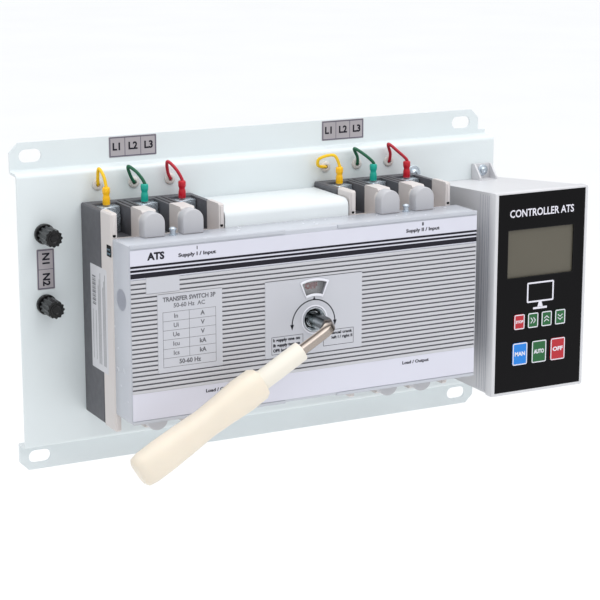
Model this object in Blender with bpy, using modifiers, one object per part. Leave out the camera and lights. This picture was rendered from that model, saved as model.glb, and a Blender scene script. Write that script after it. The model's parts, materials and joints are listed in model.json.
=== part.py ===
"""Wall-mounted transfer switch: a steel back plate, two three-pole breakers under one drive cover, a
hand crank in the drive's socket, two neutral posts and a keypad controller. Lengths are in millimetres.

Frame: +X along the plate to the right, +Y into the wall, +Z up. The origin is the centre of the four
mounting slots, on the plane of the wall."""

import math

import bmesh
import bpy
from mathutils import Matrix, Vector

MM = 0.001
GAP = 0.3  # between faces that touch

# Back plate: a hat section of bent sheet, standing forward between two flanges
SHEET = 2.0
PLATE_X = (-205.0, 212.5)
FLANGE_END = 205.7
FLANGE_Z = 127.0
WEB_Z = 105.8
HAT_DEPTH = 16.1
BEND = 1.5
CORNER = 7.0
SLOT_AT = (188.8, 116.8)
SLOT_SIZE = (18.0, 10.0)
PLATE_FRONT = -HAT_DEPTH
PLATE_BACK = SHEET - HAT_DEPTH

# Breakers
BREAKER_X = {"left": -110.0, "right": 88.0}
BREAKER_WIDTH = 91.0
BASE_HALF = 81.2
COVER_HALF = 82.5
BASE_FRONT = -54.8
COVER_FRONT = -76.0
POLE_PITCH = 30.9
POCKET_WIDTH = 19.8
POCKET_SILL = 60.0
POCKET_BACK = -27.0
TERMINAL_Z = 70.5
TERMINAL_BAR = 9.0  # its thickness
TERMINAL_HALF = 9.3
TERMINAL_TOP = 78.2
WASHER_RADIUS = 9.2
WASHER_THICK = 2.0
SCREW_RADIUS = 5.6
SCREW_HEAD = 5.0
TOGGLE_WINDOW = (10.0, 14.0)
TOGGLE_HALF = 9.0
BARRIER_TOP = 82.0
BARRIER_WIDTH = 16.0
BARRIER_FRONT = -86.0

# Sense leads
LEAD_RADIUS = 1.25
LEAD_HOLE = 3.6
BOOT_Y = -32.0
BOOT_BOTTOM = 80.6
BOOT_TOP = 94.0
# Each boot: how far down it, as a share of its length, and its width as a multiple of the wire's
BOOT_SHAPE = ((0.0, 2.1), (0.06, 2.4), (0.3, 2.3), (0.45, 1.85), (0.6, 2.25), (1.0, 2.25))
# Each lead: the X and Z of its hole in the plate, and the points that it passes on its way to its boot.
LEAD_ROUTES = {
    "left_lead_1": (-141.4, 93.6, [(-143.0, -21, 99.5), (-143.6, -25, 107.0), (-142.0, -30, 102.5)]),
    "left_lead_2": (-112.0, 93.0, [(-116.0, -20, 98.5), (-119.6, -24, 106.8), (-114.5, -29, 102.5)]),
    "left_lead_3": (-82.2, 93.3, [(-85.5, -20, 99.5), (-87.3, -24, 108.0), (-83.0, -29.5, 103.0)]),
    "right_lead_1": (52.8, 92.2, [(43.5, -22, 94.5), (42.5, -26, 100.8), (52.5, -31, 103.4)]),
    "right_lead_2": (81.4, 92.4, [(80.0, -20, 98.5), (75.0, -24, 106.2), (81.5, -29, 101.5)]),
    "right_lead_3": (110.9, 92.3, [(110.5, -20, 99.0), (106.3, -24, 107.6), (112.8, -29, 101.5)]),
}

# Drive: gear, pinion and two racks behind the front cover
SHAFT_X = -5.7
SHAFT_Z = -6.1
MODULE = 1.6
GEAR_TEETH = 18
PINION_TEETH = 8
# Teeth, with play: how far they stand in and out of the pitch line, and half their width there
ROOT_DEPTH = 1.8
ROOT_HALF = 1.25
TIP_HEIGHT = 1.35
TIP_HALF = 0.45
GEAR_Y = (-94.0, -86.0)
RACK_Y = (-92.0, -88.0)
RACK_TEETH = 10
RACK_HALF = 30.0
RACK_DEPTH = 8.0
RACK_ARM = 6.0  # half its height
YOKE_SIZE = (15.0, 12.0)  # half-width and half-height, round a toggle
YOKE_WINDOW = (10.5, 5.4)
GEAR_RADIUS = MODULE * GEAR_TEETH / 2
PINION_RADIUS = MODULE * PINION_TEETH / 2
PINION_Z = SHAFT_Z + GEAR_RADIUS + PINION_RADIUS
SHAFT_RADIUS = 6.0
BRACKET_X = (-63.5, 41.5)
BRACKET_Z = 77.0
BRACKET_FRONT = -75.0
BRACKET_FOOT = 14.0
BRACKET_BEND = 6.0
FOOT_BEND = 3.0
STUB_RADIUS = 3.0
COLLAR_RADIUS = 8.0
SOCKET_RADIUS = 4.1
SOCKET_END = -79.0
SHAFT_FRONT = -106.0
DISC_Y = (-102.6, -101.4)
MOTOR_RADIUS = 15.0
MOTOR_Y = (-69.5, -32.0)
DISC_RADIUS = 33.0
WINDOW_RADII = (18.5, 31.0)
WINDOW_ANGLE = math.radians(22.0)
TOGGLE_Y = -62.0

# Front cover
COVER_X = (-155.0, 139.0)
COVER_Y = (-107.0, -76.3)
COVER_Z = (-68.5, 64.1)
COVER_WALL = 2.0
BUSH_RADIUS = 9.8
BUSH_NECK = 7.6
BUSH_BORE = 6.4
PANE_HALF = 14.0
PANE_THICK = 1.3

# Crank
BAR_RADIUS = 4.7
BAR_TIP_Y = -82.0
STUB_START = (-106.4, -107.2)  # where the bar swells in front of the socket
# Widths as multiples of the bar's own: inside the socket, and from there to the bend
SOCKET_END_WIDTH = 0.8
STUB_WIDTH = 1.21
ARM_Y = -136.0
ARM_ANGLE = math.radians(29.7)
ARM_BEND = 10.0
SLEEVE = (30.0, 68.0)
SLEEVE_RADIUS = 7.7
GRIP = (68.3, 181.0)
BAR_END = 100.0
# The grip's sections: place as a share of its length, half-width across the arm, half-depth
GRIP_SECTIONS = (
    (0.0, 10.5, 8.5), (0.03, 12.4, 10.0), (0.16, 12.8, 10.4), (0.32, 11.4, 9.8), (0.46, 10.6, 9.6),
    (0.62, 11.6, 10.0), (0.8, 12.4, 10.4), (0.93, 12.3, 10.2), (0.985, 11.2, 9.2), (1.0, 9.0, 7.2),
)

# Controller
CASE_FRONT = {"x": (155.0, 241.5), "y": -100.0, "z": (-87.8, 75.6)}
CASE_REAR = {"x": (155.0, 216.0), "y": PLATE_FRONT - GAP, "z": (-86.8, 71.0)}
CASE_WALL = 2.2
EAR_X = (191.0, 208.0)
EAR_SIZE = (13.0, 13.0)
EAR_BACK = 3.2  # its thickness behind the screw
EAR_RIB = 1.6  # the rib on each side of it
BEZEL_X = (153.6, 242.4)
BEZEL_Y = (-110.0, -100.3)
BEZEL_Z = (-89.0, 76.6)
BEZEL_RIM = 3.0
RECESS_DEPTH = 1.8
PANEL_THICK = 1.3
OPENING_X = (161.0, 236.0)
OPENING_Z = (-82.0, 70.0)
BOARD_Y = (-102.8, -101.2)
DISPLAY_X = (166.3, 229.3)
DISPLAY_Z = (6.9, 46.0)
SMALL_KEY = (10.0, 12.4)
LARGE_KEY = (14.0, 18.4)
SMALL_ROW = -29.2
LARGE_ROW = -55.7
KEYS = {
    "key_stop": (178.6, SMALL_ROW, SMALL_KEY),
    "key_next": (191.7, SMALL_ROW, SMALL_KEY),
    "key_up": (204.8, SMALL_ROW, SMALL_KEY),
    "key_down": (218.0, SMALL_ROW, SMALL_KEY),
    "key_manual": (179.9, LARGE_ROW, LARGE_KEY),
    "key_auto": (198.3, LARGE_ROW, LARGE_KEY),
    "key_off": (216.5, LARGE_ROW, LARGE_KEY),
}

# Neutral posts
POST_X = -185.0
POST_Z = {"upper": 60.0, "lower": 6.0}
POST_HOLE = 2.6
POST_BORE = 2.4
POST_PIVOT_Y = -21.0
SEAT_RADIUS = 7.8
SEAT_DEPTH = 3.2
STUD_RADIUS = 2.0
STUD_HEAD = 4.0
STUD_TIP = -35.5
POST_WASHER = (5.0, 1.2)  # radius and thickness
KNOB_RADIUS = 6.4
KNOB_LOBE = 0.5
KNOB_LOBES = 12
KNOB_FRONT = -37.6


# ---------------------------------------------------------------- scene and materials


def clear_scene():
    for obj in list(bpy.data.objects):
        bpy.data.objects.remove(obj, do_unlink=True)


def new_collection(name):
    made = bpy.data.collections.new(name)
    bpy.context.scene.collection.children.link(made)
    return made


def material(name, colour, roughness, metallic=0.0, alpha=1.0):
    made = bpy.data.materials.new(name)
    made.use_nodes = True
    shader = made.node_tree.nodes["Principled BSDF"]
    shader.inputs["Base Color"].default_value = (*colour, 1.0)
    shader.inputs["Roughness"].default_value = roughness
    shader.inputs["Metallic"].default_value = metallic
    shader.inputs["Alpha"].default_value = alpha
    return made


clear_scene()
PARTS = new_collection("transfer_switch")
CUTTERS = new_collection("cutters")
WHITE_PAINT = material("white_paint", (0.76, 0.78, 0.79), 0.35)
DARK_PLASTIC = material("dark_plastic", (0.07, 0.07, 0.075), 0.5)
LIGHT_PLASTIC = material("light_plastic", (0.66, 0.65, 0.63), 0.4)
GREY_PLASTIC = material("grey_plastic", (0.50, 0.51, 0.54), 0.3)
BLACK_PLASTIC = material("black_plastic", (0.012, 0.012, 0.012), 0.4)
IVORY = material("ivory_plastic", (0.90, 0.81, 0.65), 0.45)
CHROME = material("chrome", (0.80, 0.80, 0.80), 0.15, metallic=1.0)
ZINC = material("zinc", (0.60, 0.62, 0.64), 0.35, metallic=1.0)
STEEL = material("steel", (0.50, 0.50, 0.50), 0.4, metallic=1.0)
CLEAR = material("clear_plastic", (0.9, 0.9, 0.9), 0.1, alpha=0.35)
LCD = material("lcd_glass", (0.15, 0.14, 0.12), 0.15)
BOARD = material("circuit_board", (0.02, 0.16, 0.07), 0.5)
RED = material("red", (0.62, 0.02, 0.04), 0.4)
GREEN = material("green", (0.01, 0.17, 0.09), 0.4)
YELLOW = material("yellow", (0.90, 0.58, 0.01), 0.4)
BLUE = material("blue", (0.01, 0.25, 0.75), 0.4)


# ---------------------------------------------------------------- shapes


def finished(mesh):
    """Welds a mesh's loose caps and turns its faces outward."""
    bm = bmesh.new()
    bm.from_mesh(mesh)
    bmesh.ops.remove_doubles(bm, verts=bm.verts, dist=1e-6)
    bmesh.ops.recalc_face_normals(bm, faces=bm.faces)
    bm.to_mesh(mesh)
    bm.free()
    return mesh


def baked(obj):
    """The evaluated mesh of an object, in world space. The object is removed."""
    CUTTERS.objects.link(obj)
    graph = bpy.context.evaluated_depsgraph_get()
    mesh = bpy.data.meshes.new_from_object(obj.evaluated_get(graph), depsgraph=graph)
    mesh.transform(obj.matrix_world)
    bpy.data.objects.remove(obj, do_unlink=True)
    return finished(mesh)


def box(x, y, z, bevel=0.0, segments=1):
    """A box between two corners. Bevel rounds its edges."""
    bm = bmesh.new()
    bmesh.ops.create_cube(bm, size=1.0)
    size = Vector((x[1] - x[0], y[1] - y[0], z[1] - z[0])) * MM
    middle = Vector((x[0] + x[1], y[0] + y[1], z[0] + z[1])) * MM / 2
    bmesh.ops.scale(bm, vec=size, verts=bm.verts)
    bmesh.ops.translate(bm, vec=middle, verts=bm.verts)
    if bevel:
        bmesh.ops.bevel(bm, geom=bm.edges, offset=bevel * MM, segments=segments, profile=0.5, affect="EDGES")
    mesh = bpy.data.meshes.new("box")
    bm.to_mesh(mesh)
    bm.free()
    return mesh


def prism(outlines, span, axis):
    """Closed outlines drawn in the plane across an axis and extruded over a span of it. The first is the
    outside and the rest are holes. Outlines are (X, Z) across Y, (Y, Z) across X and (X, Y) across Z."""
    curve = bpy.data.curves.new("outline", "CURVE")
    curve.dimensions = "2D"
    curve.fill_mode = "BOTH"
    curve.extrude = (span[1] - span[0]) / 2 * MM
    for outline in outlines:
        spline = curve.splines.new("POLY")
        spline.points.add(len(outline) - 1)
        for point, (a, b) in zip(spline.points, outline):
            point.co = (a * MM, b * MM, 0.0, 1.0)
        spline.use_cyclic_u = True
    columns = {
        "X": ((0, 1, 0), (0, 0, 1), (1, 0, 0)),
        "Y": ((1, 0, 0), (0, 0, 1), (0, -1, 0)),
        "Z": ((1, 0, 0), (0, 1, 0), (0, 0, 1)),
    }[axis]
    turn = Matrix(columns).transposed().to_4x4()
    middle = (span[0] + span[1]) / 2 * MM
    obj = bpy.data.objects.new("outline", curve)
    mesh = baked(obj)
    mesh.transform(turn)
    mesh.transform(Matrix.Translation(Vector([middle if axis == name else 0.0 for name in "XYZ"])))
    return finished(mesh)


def turned(profile, centre, steps=24):
    """A closed profile of (radius, Y) points turned about the line along Y through centre (X, Z)."""
    mesh = bpy.data.meshes.new("profile")
    edges = [(i, (i + 1) % len(profile)) for i in range(len(profile))]
    edges = [(a, b) for a, b in edges if profile[a][0] > 0 or profile[b][0] > 0]
    mesh.from_pydata([(radius * MM, 0.0, y * MM) for radius, y in profile], edges, [])
    obj = bpy.data.objects.new("profile", mesh)
    screw = obj.modifiers.new("turn", "SCREW")
    screw.steps = steps
    screw.render_steps = steps
    screw.use_merge_vertices = True
    screw.merge_threshold = 1e-6
    made = baked(obj)
    made.transform(Matrix.Rotation(math.radians(-90), 4, "X"))
    made.transform(Matrix.Translation((centre[0] * MM, 0.0, centre[1] * MM)))
    return finished(made)


def circle(centre, radius, count=20, start=0.0):
    steps = [start + math.tau * i / count for i in range(count)]
    return [(centre[0] + radius * math.cos(a), centre[1] + radius * math.sin(a)) for a in steps]


def rectangle(x, z):
    return [(x[0], z[0]), (x[1], z[0]), (x[1], z[1]), (x[0], z[1])]


def slot_outline(centre, size, steps=6):
    """A slot along X with round ends."""
    radius = size[1] / 2
    reach = size[0] / 2 - radius
    ends = []
    for side in (1, -1):
        for i in range(steps + 1):
            a = math.pi * (i / steps - 0.5) + (0.0 if side > 0 else math.pi)
            ends.append((centre[0] + side * reach + radius * math.cos(a), centre[1] + radius * math.sin(a)))
    return ends


def fillet(points, radii, steps=3):
    """A polygon with arcs in place of the corners that have a radius."""
    made = []
    for i, (point, radius) in enumerate(zip(points, radii)):
        if not radius:
            made.append(point)
            continue
        corner = Vector(point)
        before = (Vector(points[i - 1]) - corner).normalized()
        after = (Vector(points[(i + 1) % len(points)]) - corner).normalized()
        half = before.angle(after) / 2
        centre = corner + (before + after).normalized() * radius / math.sin(half)
        first = corner + before * radius / math.tan(half) - centre
        last = corner + after * radius / math.tan(half) - centre
        turn = first.angle_signed(last)
        for step in range(steps + 1):
            a = -turn * step / steps
            made.append(tuple(centre + Matrix.Rotation(a, 2) @ first))
    return made


def joined(meshes):
    """Several separate shapes in one mesh."""
    bm = bmesh.new()
    for mesh in meshes:
        bm.from_mesh(mesh)
    made = bpy.data.meshes.new("joined")
    bm.to_mesh(made)
    bm.free()
    return made


# ---------------------------------------------------------------- objects


def add(name, mesh, look, pivot=(0.0, 0.0, 0.0)):
    """A part whose origin is its joint's axis, or the frame's origin where it has no joint of its own."""
    at = Vector(pivot) * MM
    mesh.transform(Matrix.Translation(-at))
    mesh.name = name
    mesh.materials.clear()
    mesh.materials.append(look)
    obj = bpy.data.objects.new(name, mesh)
    obj.location = at
    PARTS.objects.link(obj)
    return obj


def combine(obj, mesh, operation):
    """Cuts a mesh given in world space from an object, or joins it on."""
    tool = bpy.data.objects.new(obj.name + "_" + operation.lower(), mesh)
    tool.hide_render = True
    tool.display_type = "WIRE"
    CUTTERS.objects.link(tool)
    boolean = obj.modifiers.new(operation.lower(), "BOOLEAN")
    boolean.operation = operation
    boolean.solver = "EXACT"
    boolean.object = tool


# ---------------------------------------------------------------- back plate


def add_base_plate():
    inner = WEB_Z - SHEET
    outline = [
        (-SHEET, FLANGE_Z), (-SHEET, WEB_Z), (PLATE_FRONT, WEB_Z), (PLATE_FRONT, -WEB_Z), (-SHEET, -WEB_Z),
        (-SHEET, -FLANGE_Z), (0.0, -FLANGE_Z), (0.0, -inner), (PLATE_BACK, -inner), (PLATE_BACK, inner),
        (0.0, inner), (0.0, FLANGE_Z),
    ]
    outer = BEND + SHEET
    radii = [0, BEND, outer, outer, BEND, 0, 0, outer, BEND, BEND, outer, 0]
    plate = add("base_plate", prism([fillet(outline, radii)], PLATE_X, "X"), WHITE_PAINT)
    through = (-SHEET - 1, 1.0)
    past = 2.0
    cuts = []
    for side in (1, -1):
        edge, beyond = FLANGE_Z - CORNER, FLANGE_Z + past
        start = PLATE_X[0] - past
        left = [(start, edge - past), (start, beyond), (PLATE_X[0] + CORNER + past, beyond)]
        right = [
            (FLANGE_END - CORNER - past, beyond), (FLANGE_END, edge), (FLANGE_END, WEB_Z + 2 * SHEET),
            (PLATE_X[1] + past, WEB_Z + 2 * SHEET), (PLATE_X[1] + past, beyond),
        ]
        for corner in (left, right):
            cuts.append(prism([[(x, side * z) for x, z in corner]], through, "Y"))
        for x in (SLOT_AT[0], -SLOT_AT[0]):
            cuts.append(prism([slot_outline((x, side * SLOT_AT[1]), SLOT_SIZE)], through, "Y"))
    bore = (PLATE_FRONT - 1, PLATE_BACK + 1)
    for x, z, _ in LEAD_ROUTES.values():
        cuts.append(prism([circle((x, z), LEAD_HOLE, 16)], bore, "Y"))
    for z in POST_Z.values():
        cuts.append(prism([circle((POST_X, z), POST_HOLE, 12)], bore, "Y"))
    combine(plate, joined(cuts), "DIFFERENCE")


# ---------------------------------------------------------------- breakers


def pole_centres(middle):
    return [middle + step * POLE_PITCH for step in (-1, 0, 1)]


def pocket_cuts(middle, y):
    """The six terminal pockets of a breaker, each open at its end and to the front."""
    cuts = []
    for x in pole_centres(middle):
        for end in (1, -1):
            reach = sorted((end * POCKET_SILL, end * (COVER_HALF + 2)))
            cuts.append(box((x - POCKET_WIDTH / 2, x + POCKET_WIDTH / 2), y, reach))
    return cuts


def add_breaker(side):
    middle = BREAKER_X[side]
    across = (middle - BREAKER_WIDTH / 2, middle + BREAKER_WIDTH / 2)
    back = PLATE_FRONT - GAP
    block = box(across, (BASE_FRONT, back), (-BASE_HALF, BASE_HALF), 1.0)
    base = add(side + "_breaker_base", block, DARK_PLASTIC)
    combine(base, joined(pocket_cuts(middle, (BASE_FRONT - 2, POCKET_BACK))), "DIFFERENCE")

    depth = (COVER_FRONT, BASE_FRONT - GAP)
    cover = add(side + "_breaker_cover", box(across, depth, (-COVER_HALF, COVER_HALF), 1.2), LIGHT_PLASTIC)
    through = (depth[0] - 2, depth[1] + 2)
    wide, high = TOGGLE_WINDOW
    window = box((middle - wide, middle + wide), through, (SHAFT_Z - high, SHAFT_Z + high))
    combine(cover, joined([window, *pocket_cuts(middle, through)]), "DIFFERENCE")
    bosses = [barrier_boss(x, end) for x in barrier_centres(middle) for end in (1, -1)]
    combine(cover, joined(bosses), "UNION")


def barrier_centres(middle):
    return [middle - POLE_PITCH / 2, middle + POLE_PITCH / 2]


def barrier_boss(x, end):
    """A round-topped tongue that stands forward of the wall between two poles."""
    radius = BARRIER_WIDTH / 2
    foot = COVER_Z[1] + GAP if end > 0 else -COVER_Z[0] + GAP
    arc = [math.pi * i / 8 for i in range(9)]
    outline = [(x + radius * math.cos(a), end * (BARRIER_TOP - radius + radius * math.sin(a))) for a in arc]
    outline += [(x - radius, end * foot), (x + radius, end * foot)]
    return prism([outline], (BARRIER_FRONT, COVER_FRONT + 2), "Y")


def add_terminal(name, x, end):
    """A flat bar with its washer and screw, in a pocket at the top or, turned over, at the bottom."""
    back = POCKET_BACK - GAP
    front = back - TERMINAL_BAR
    bar = box((-TERMINAL_HALF, TERMINAL_HALF), (front, back), (POCKET_SILL + GAP, TERMINAL_TOP))
    washer = front - WASHER_THICK
    head = washer - SCREW_HEAD
    profile = [(0, front + 1), (WASHER_RADIUS, front + 1), (WASHER_RADIUS, washer), (SCREW_RADIUS, washer)]
    profile += [(SCREW_RADIUS, head), (0, head)]
    screw = turned(profile, (0.0, TERMINAL_Z), 20)
    place = Matrix.Translation((x * MM, 0, 0))
    if end < 0:
        place = place @ Matrix.Rotation(math.pi, 4, "Y")
    bar.transform(place)
    screw.transform(place)
    combine(add(name, bar, ZINC), screw, "UNION")


def add_toggle(side, look):
    """The handle of a breaker, hinged across it."""
    lever = [(-98.0, -2.4), (-84.0, -3.0), (TOGGLE_Y - 4, -3.2), (TOGGLE_Y - 4, -5), (TOGGLE_Y + 4, -5)]
    lever += [(y, -z) for y, z in lever[::-1]]
    outline = [(y, SHAFT_Z + z) for y, z in lever]
    middle = BREAKER_X[side]
    handle = prism([outline], (middle - TOGGLE_HALF, middle + TOGGLE_HALF), "X")
    add(side + "_toggle", handle, look, (middle, TOGGLE_Y, SHAFT_Z))


# ---------------------------------------------------------------- sense leads


def smooth(points, steps=4):
    """Points on a smooth curve through the given ones."""
    ends = [points[0] * 2 - points[1], *points, points[-1] * 2 - points[-2]]
    made = [points[0]]
    for a, b, c, d in zip(ends, ends[1:], ends[2:], ends[3:]):
        for i in range(1, steps + 1):
            t = i / steps
            bend = (2 * a - 5 * b + 4 * c - d) * t**2 + (3 * b - a - 3 * c + d) * t**3
            made.append((2 * b + (c - a) * t + bend) / 2)
    return made


def tube(name, points, radius, look, widths=None, sides=2, pivot=(0.0, 0.0, 0.0)):
    """A round tube through points, with an optional width at each as a multiple of the radius."""
    curve = bpy.data.curves.new(name, "CURVE")
    curve.dimensions = "3D"
    curve.bevel_depth = radius * MM
    curve.bevel_resolution = sides
    curve.use_fill_caps = True
    spline = curve.splines.new("POLY")
    spline.points.add(len(points) - 1)
    for i, (point, place) in enumerate(zip(spline.points, points)):
        point.co = (*((Vector(place) - Vector(pivot)) * MM), 1.0)
        point.radius = widths[i] if widths else 1.0
    curve.materials.append(look)
    obj = bpy.data.objects.new(name, curve)
    obj.location = Vector(pivot) * MM
    PARTS.objects.link(obj)
    return obj


def add_lead(name, look):
    hole_x, hole_z, route = LEAD_ROUTES[name]
    side, number = name.split("_lead_")
    boot_x = pole_centres(BREAKER_X[side])[int(number) - 1]
    passed = [(hole_x, PLATE_BACK + 5, hole_z), (hole_x, PLATE_FRONT - 1, hole_z), *route]
    passed.append((boot_x, BOOT_Y, BOOT_TOP + 1))
    points = smooth([Vector(p) for p in passed])
    widths = [1.0] * len(points)
    length = BOOT_TOP - BOOT_BOTTOM
    for down, width in BOOT_SHAPE:
        points.append(Vector((boot_x, BOOT_Y, BOOT_TOP - down * length)))
        widths.append(width)
    tube(name, points, LEAD_RADIUS, look, widths)


# ---------------------------------------------------------------- drive


def add_bracket():
    """A bent sheet between the breakers, which carries the motor and the shaft."""
    foot = BRACKET_Z - BRACKET_FOOT
    back = PLATE_FRONT - GAP
    outside = [(back, foot), (back, BRACKET_Z), (BRACKET_FRONT, BRACKET_Z)]
    high = BRACKET_Z - SHEET
    inside = [(BRACKET_FRONT + SHEET, high), (back - SHEET, high), (back - SHEET, foot)]
    outline = outside + [(y, -z) for y, z in outside[::-1]] + [(y, -z) for y, z in inside[::-1]] + inside
    radii = [0, FOOT_BEND, BRACKET_BEND, BRACKET_BEND, FOOT_BEND, 0]
    radii += [0, FOOT_BEND - SHEET, BRACKET_BEND - SHEET, BRACKET_BEND - SHEET, FOOT_BEND - SHEET, 0]
    bracket = add("mechanism_bracket", prism([fillet(outline, radii)], BRACKET_X, "X"), WHITE_PAINT)
    bore = (BRACKET_FRONT - 1, BRACKET_FRONT + SHEET + 1)
    holes = [
        prism([circle((SHAFT_X, SHAFT_Z), SHAFT_RADIUS + GAP)], bore, "Y"),
        prism([circle((SHAFT_X, PINION_Z), STUB_RADIUS + GAP, 16)], bore, "Y"),
    ]
    combine(bracket, joined(holes), "DIFFERENCE")


def gear_outline(centre, teeth, phase):
    """Straight-sided teeth with play, one of them centred at the phase."""
    pitch = MODULE * teeth / 2
    flanks = ((-ROOT_DEPTH, ROOT_HALF), (TIP_HEIGHT, TIP_HALF))
    outline = []
    for tooth in range(teeth):
        middle = phase + math.tau * tooth / teeth
        for way in (-1, 1):
            for depth, half in flanks[::-way]:
                radius = pitch + depth
                a = middle + way * half / radius
                outline.append((centre[0] + radius * math.cos(a), centre[1] + radius * math.sin(a)))
    return outline


def rack_outline(side):
    """A rack beside the gear, with an arm to the frame that surrounds its breaker's toggle."""
    way = -1 if side == "left" else 1
    root, tip = GEAR_RADIUS + ROOT_DEPTH, GEAR_RADIUS - TIP_HEIGHT
    back = GEAR_RADIUS + RACK_DEPTH
    outline = [(back, -RACK_HALF), (root, -RACK_HALF)]
    for tooth in range(-RACK_TEETH // 2, RACK_TEETH // 2):
        middle = (tooth + 0.5) * math.pi * MODULE
        outline += [(root, middle - ROOT_HALF), (tip, middle - TIP_HALF)]
        outline += [(tip, middle + TIP_HALF), (root, middle + ROOT_HALF)]
    reach = abs(BREAKER_X[side] - SHAFT_X)
    half, high = YOKE_SIZE
    near, far = reach - half, reach + half
    outline += [(root, RACK_HALF), (back, RACK_HALF), (back, RACK_ARM), (near, RACK_ARM), (near, high)]
    outline += [(far, high), (far, -high), (near, -high), (near, -RACK_ARM), (back, -RACK_ARM)]
    wide, tall = YOKE_WINDOW
    window = rectangle((reach - wide, reach + wide), (-tall, tall))
    return [[(SHAFT_X + way * x, SHAFT_Z + z) for x, z in shape] for shape in (outline, window)]


def add_drive():
    axis = (SHAFT_X, SHAFT_Z)
    pivot = (SHAFT_X, GEAR_Y[0], SHAFT_Z)
    rest = BRACKET_FRONT + SHEET + GAP  # the bracket's rear face, with its gap
    collar = rest + 2.7
    shaft = [(0, collar), (COLLAR_RADIUS, collar), (COLLAR_RADIUS, rest), (SHAFT_RADIUS, rest)]
    shaft += [(SHAFT_RADIUS, SHAFT_FRONT), (SOCKET_RADIUS, SHAFT_FRONT), (SOCKET_RADIUS, SOCKET_END)]
    shaft += [(0, SOCKET_END)]
    add("drive_shaft", turned(shaft, axis), CHROME, pivot)
    bore = circle(axis, SHAFT_RADIUS + GAP)
    add("drive_gear", prism([gear_outline(axis, GEAR_TEETH, 0.0), bore], GEAR_Y, "Y"), STEEL, pivot)
    disc = circle(axis, DISC_RADIUS, 48)
    add("indicator_disc", prism([disc, bore], DISC_Y, "Y"), LIGHT_PLASTIC, pivot)

    mesh_axis = (SHAFT_X, PINION_Z)
    pinion = prism([gear_outline(mesh_axis, PINION_TEETH, -math.pi / 2)], GEAR_Y, "Y")
    gear = add("motor_pinion", pinion, STEEL, (SHAFT_X, GEAR_Y[0], PINION_Z))
    near, far = GEAR_Y[1] - 1, rest - GAP - 0.1
    stub = [(0, near), (STUB_RADIUS, near), (STUB_RADIUS, far), (0, far)]
    combine(gear, turned(stub, mesh_axis, 16), "UNION")

    front, rear = MOTOR_Y
    bearing, chamfer = MOTOR_RADIUS * 0.4, MOTOR_RADIUS * 0.8
    motor = [(0, rest), (bearing, rest), (bearing, front), (MOTOR_RADIUS, front)]
    motor += [(MOTOR_RADIUS, rear - 4), (chamfer, rear), (0, rear)]
    add("drive_motor", turned(motor, mesh_axis), STEEL)
    for side in BREAKER_X:
        slide = prism(rack_outline(side), RACK_Y, "Y")
        add(side + "_slide", slide, STEEL, (SHAFT_X, RACK_Y[0], SHAFT_Z))


# ---------------------------------------------------------------- front cover


def window_outline():
    near, far = WINDOW_RADII
    steps = [WINDOW_ANGLE * (i / 4 - 1) for i in range(9)]
    outer = [(SHAFT_X + far * math.sin(a), SHAFT_Z + far * math.cos(a)) for a in steps]
    inner = [(SHAFT_X + near * math.sin(a), SHAFT_Z + near * math.cos(a)) for a in steps[::-1]]
    return outer + inner


def add_front_cover():
    cover = add("front_cover", box(COVER_X, COVER_Y, COVER_Z, 1.2, 2), GREY_PLASTIC)
    inside = [(low + COVER_WALL, high - COVER_WALL) for low, high in (COVER_X, COVER_Z)]
    combine(cover, box(inside[0], (COVER_Y[0] + COVER_WALL, COVER_Y[1] + 2), inside[1]), "DIFFERENCE")
    through = (COVER_Y[0] - 1, COVER_Y[0] + COVER_WALL + 1)
    holes = [
        prism([circle((SHAFT_X, SHAFT_Z), BUSH_NECK + GAP, 24)], through, "Y"),
        prism([window_outline()], through, "Y"),
    ]
    combine(cover, joined(holes), "DIFFERENCE")
    front = COVER_Y[0] - GAP
    neck_end, lip, face = front + 3.7, front - 1, front - 1.8
    ring = [(BUSH_BORE, neck_end), (BUSH_NECK, neck_end), (BUSH_NECK, front), (BUSH_RADIUS, front)]
    ring += [(BUSH_RADIUS, lip), (BUSH_RADIUS - 0.5, face), (BUSH_RADIUS - 1.0, face), (BUSH_BORE, front + 1)]
    add("shaft_bush", turned(ring, (SHAFT_X, SHAFT_Z)), CHROME)
    pane_y = COVER_Y[0] + COVER_WALL + GAP
    pane_z = (SHAFT_Z + WINDOW_RADII[0] - 2, SHAFT_Z + WINDOW_RADII[1] + 2)
    pane_x = (SHAFT_X - PANE_HALF, SHAFT_X + PANE_HALF)
    add("indicator_window", box(pane_x, (pane_y, pane_y + PANE_THICK), pane_z), CLEAR)


# ---------------------------------------------------------------- crank


def arm_point(distance, aside=0.0, forward=0.0):
    """A point on the crank's arm: distance out from the shaft, aside across it and forward of it."""
    x = SHAFT_X - distance * math.cos(ARM_ANGLE) + aside * math.sin(ARM_ANGLE)
    z = SHAFT_Z - distance * math.sin(ARM_ANGLE) - aside * math.cos(ARM_ANGLE)
    return (x, ARM_Y - forward, z)


def along_arm(mesh):
    """Moves a mesh turned about Y at the origin so that +Y runs out along the arm."""
    out = Vector((-math.cos(ARM_ANGLE), 0.0, -math.sin(ARM_ANGLE)))
    mesh.transform(Vector((0, 1, 0)).rotation_difference(out).to_matrix().to_4x4())
    mesh.transform(Matrix.Translation(Vector(arm_point(0.0)) * MM))
    return mesh


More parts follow.
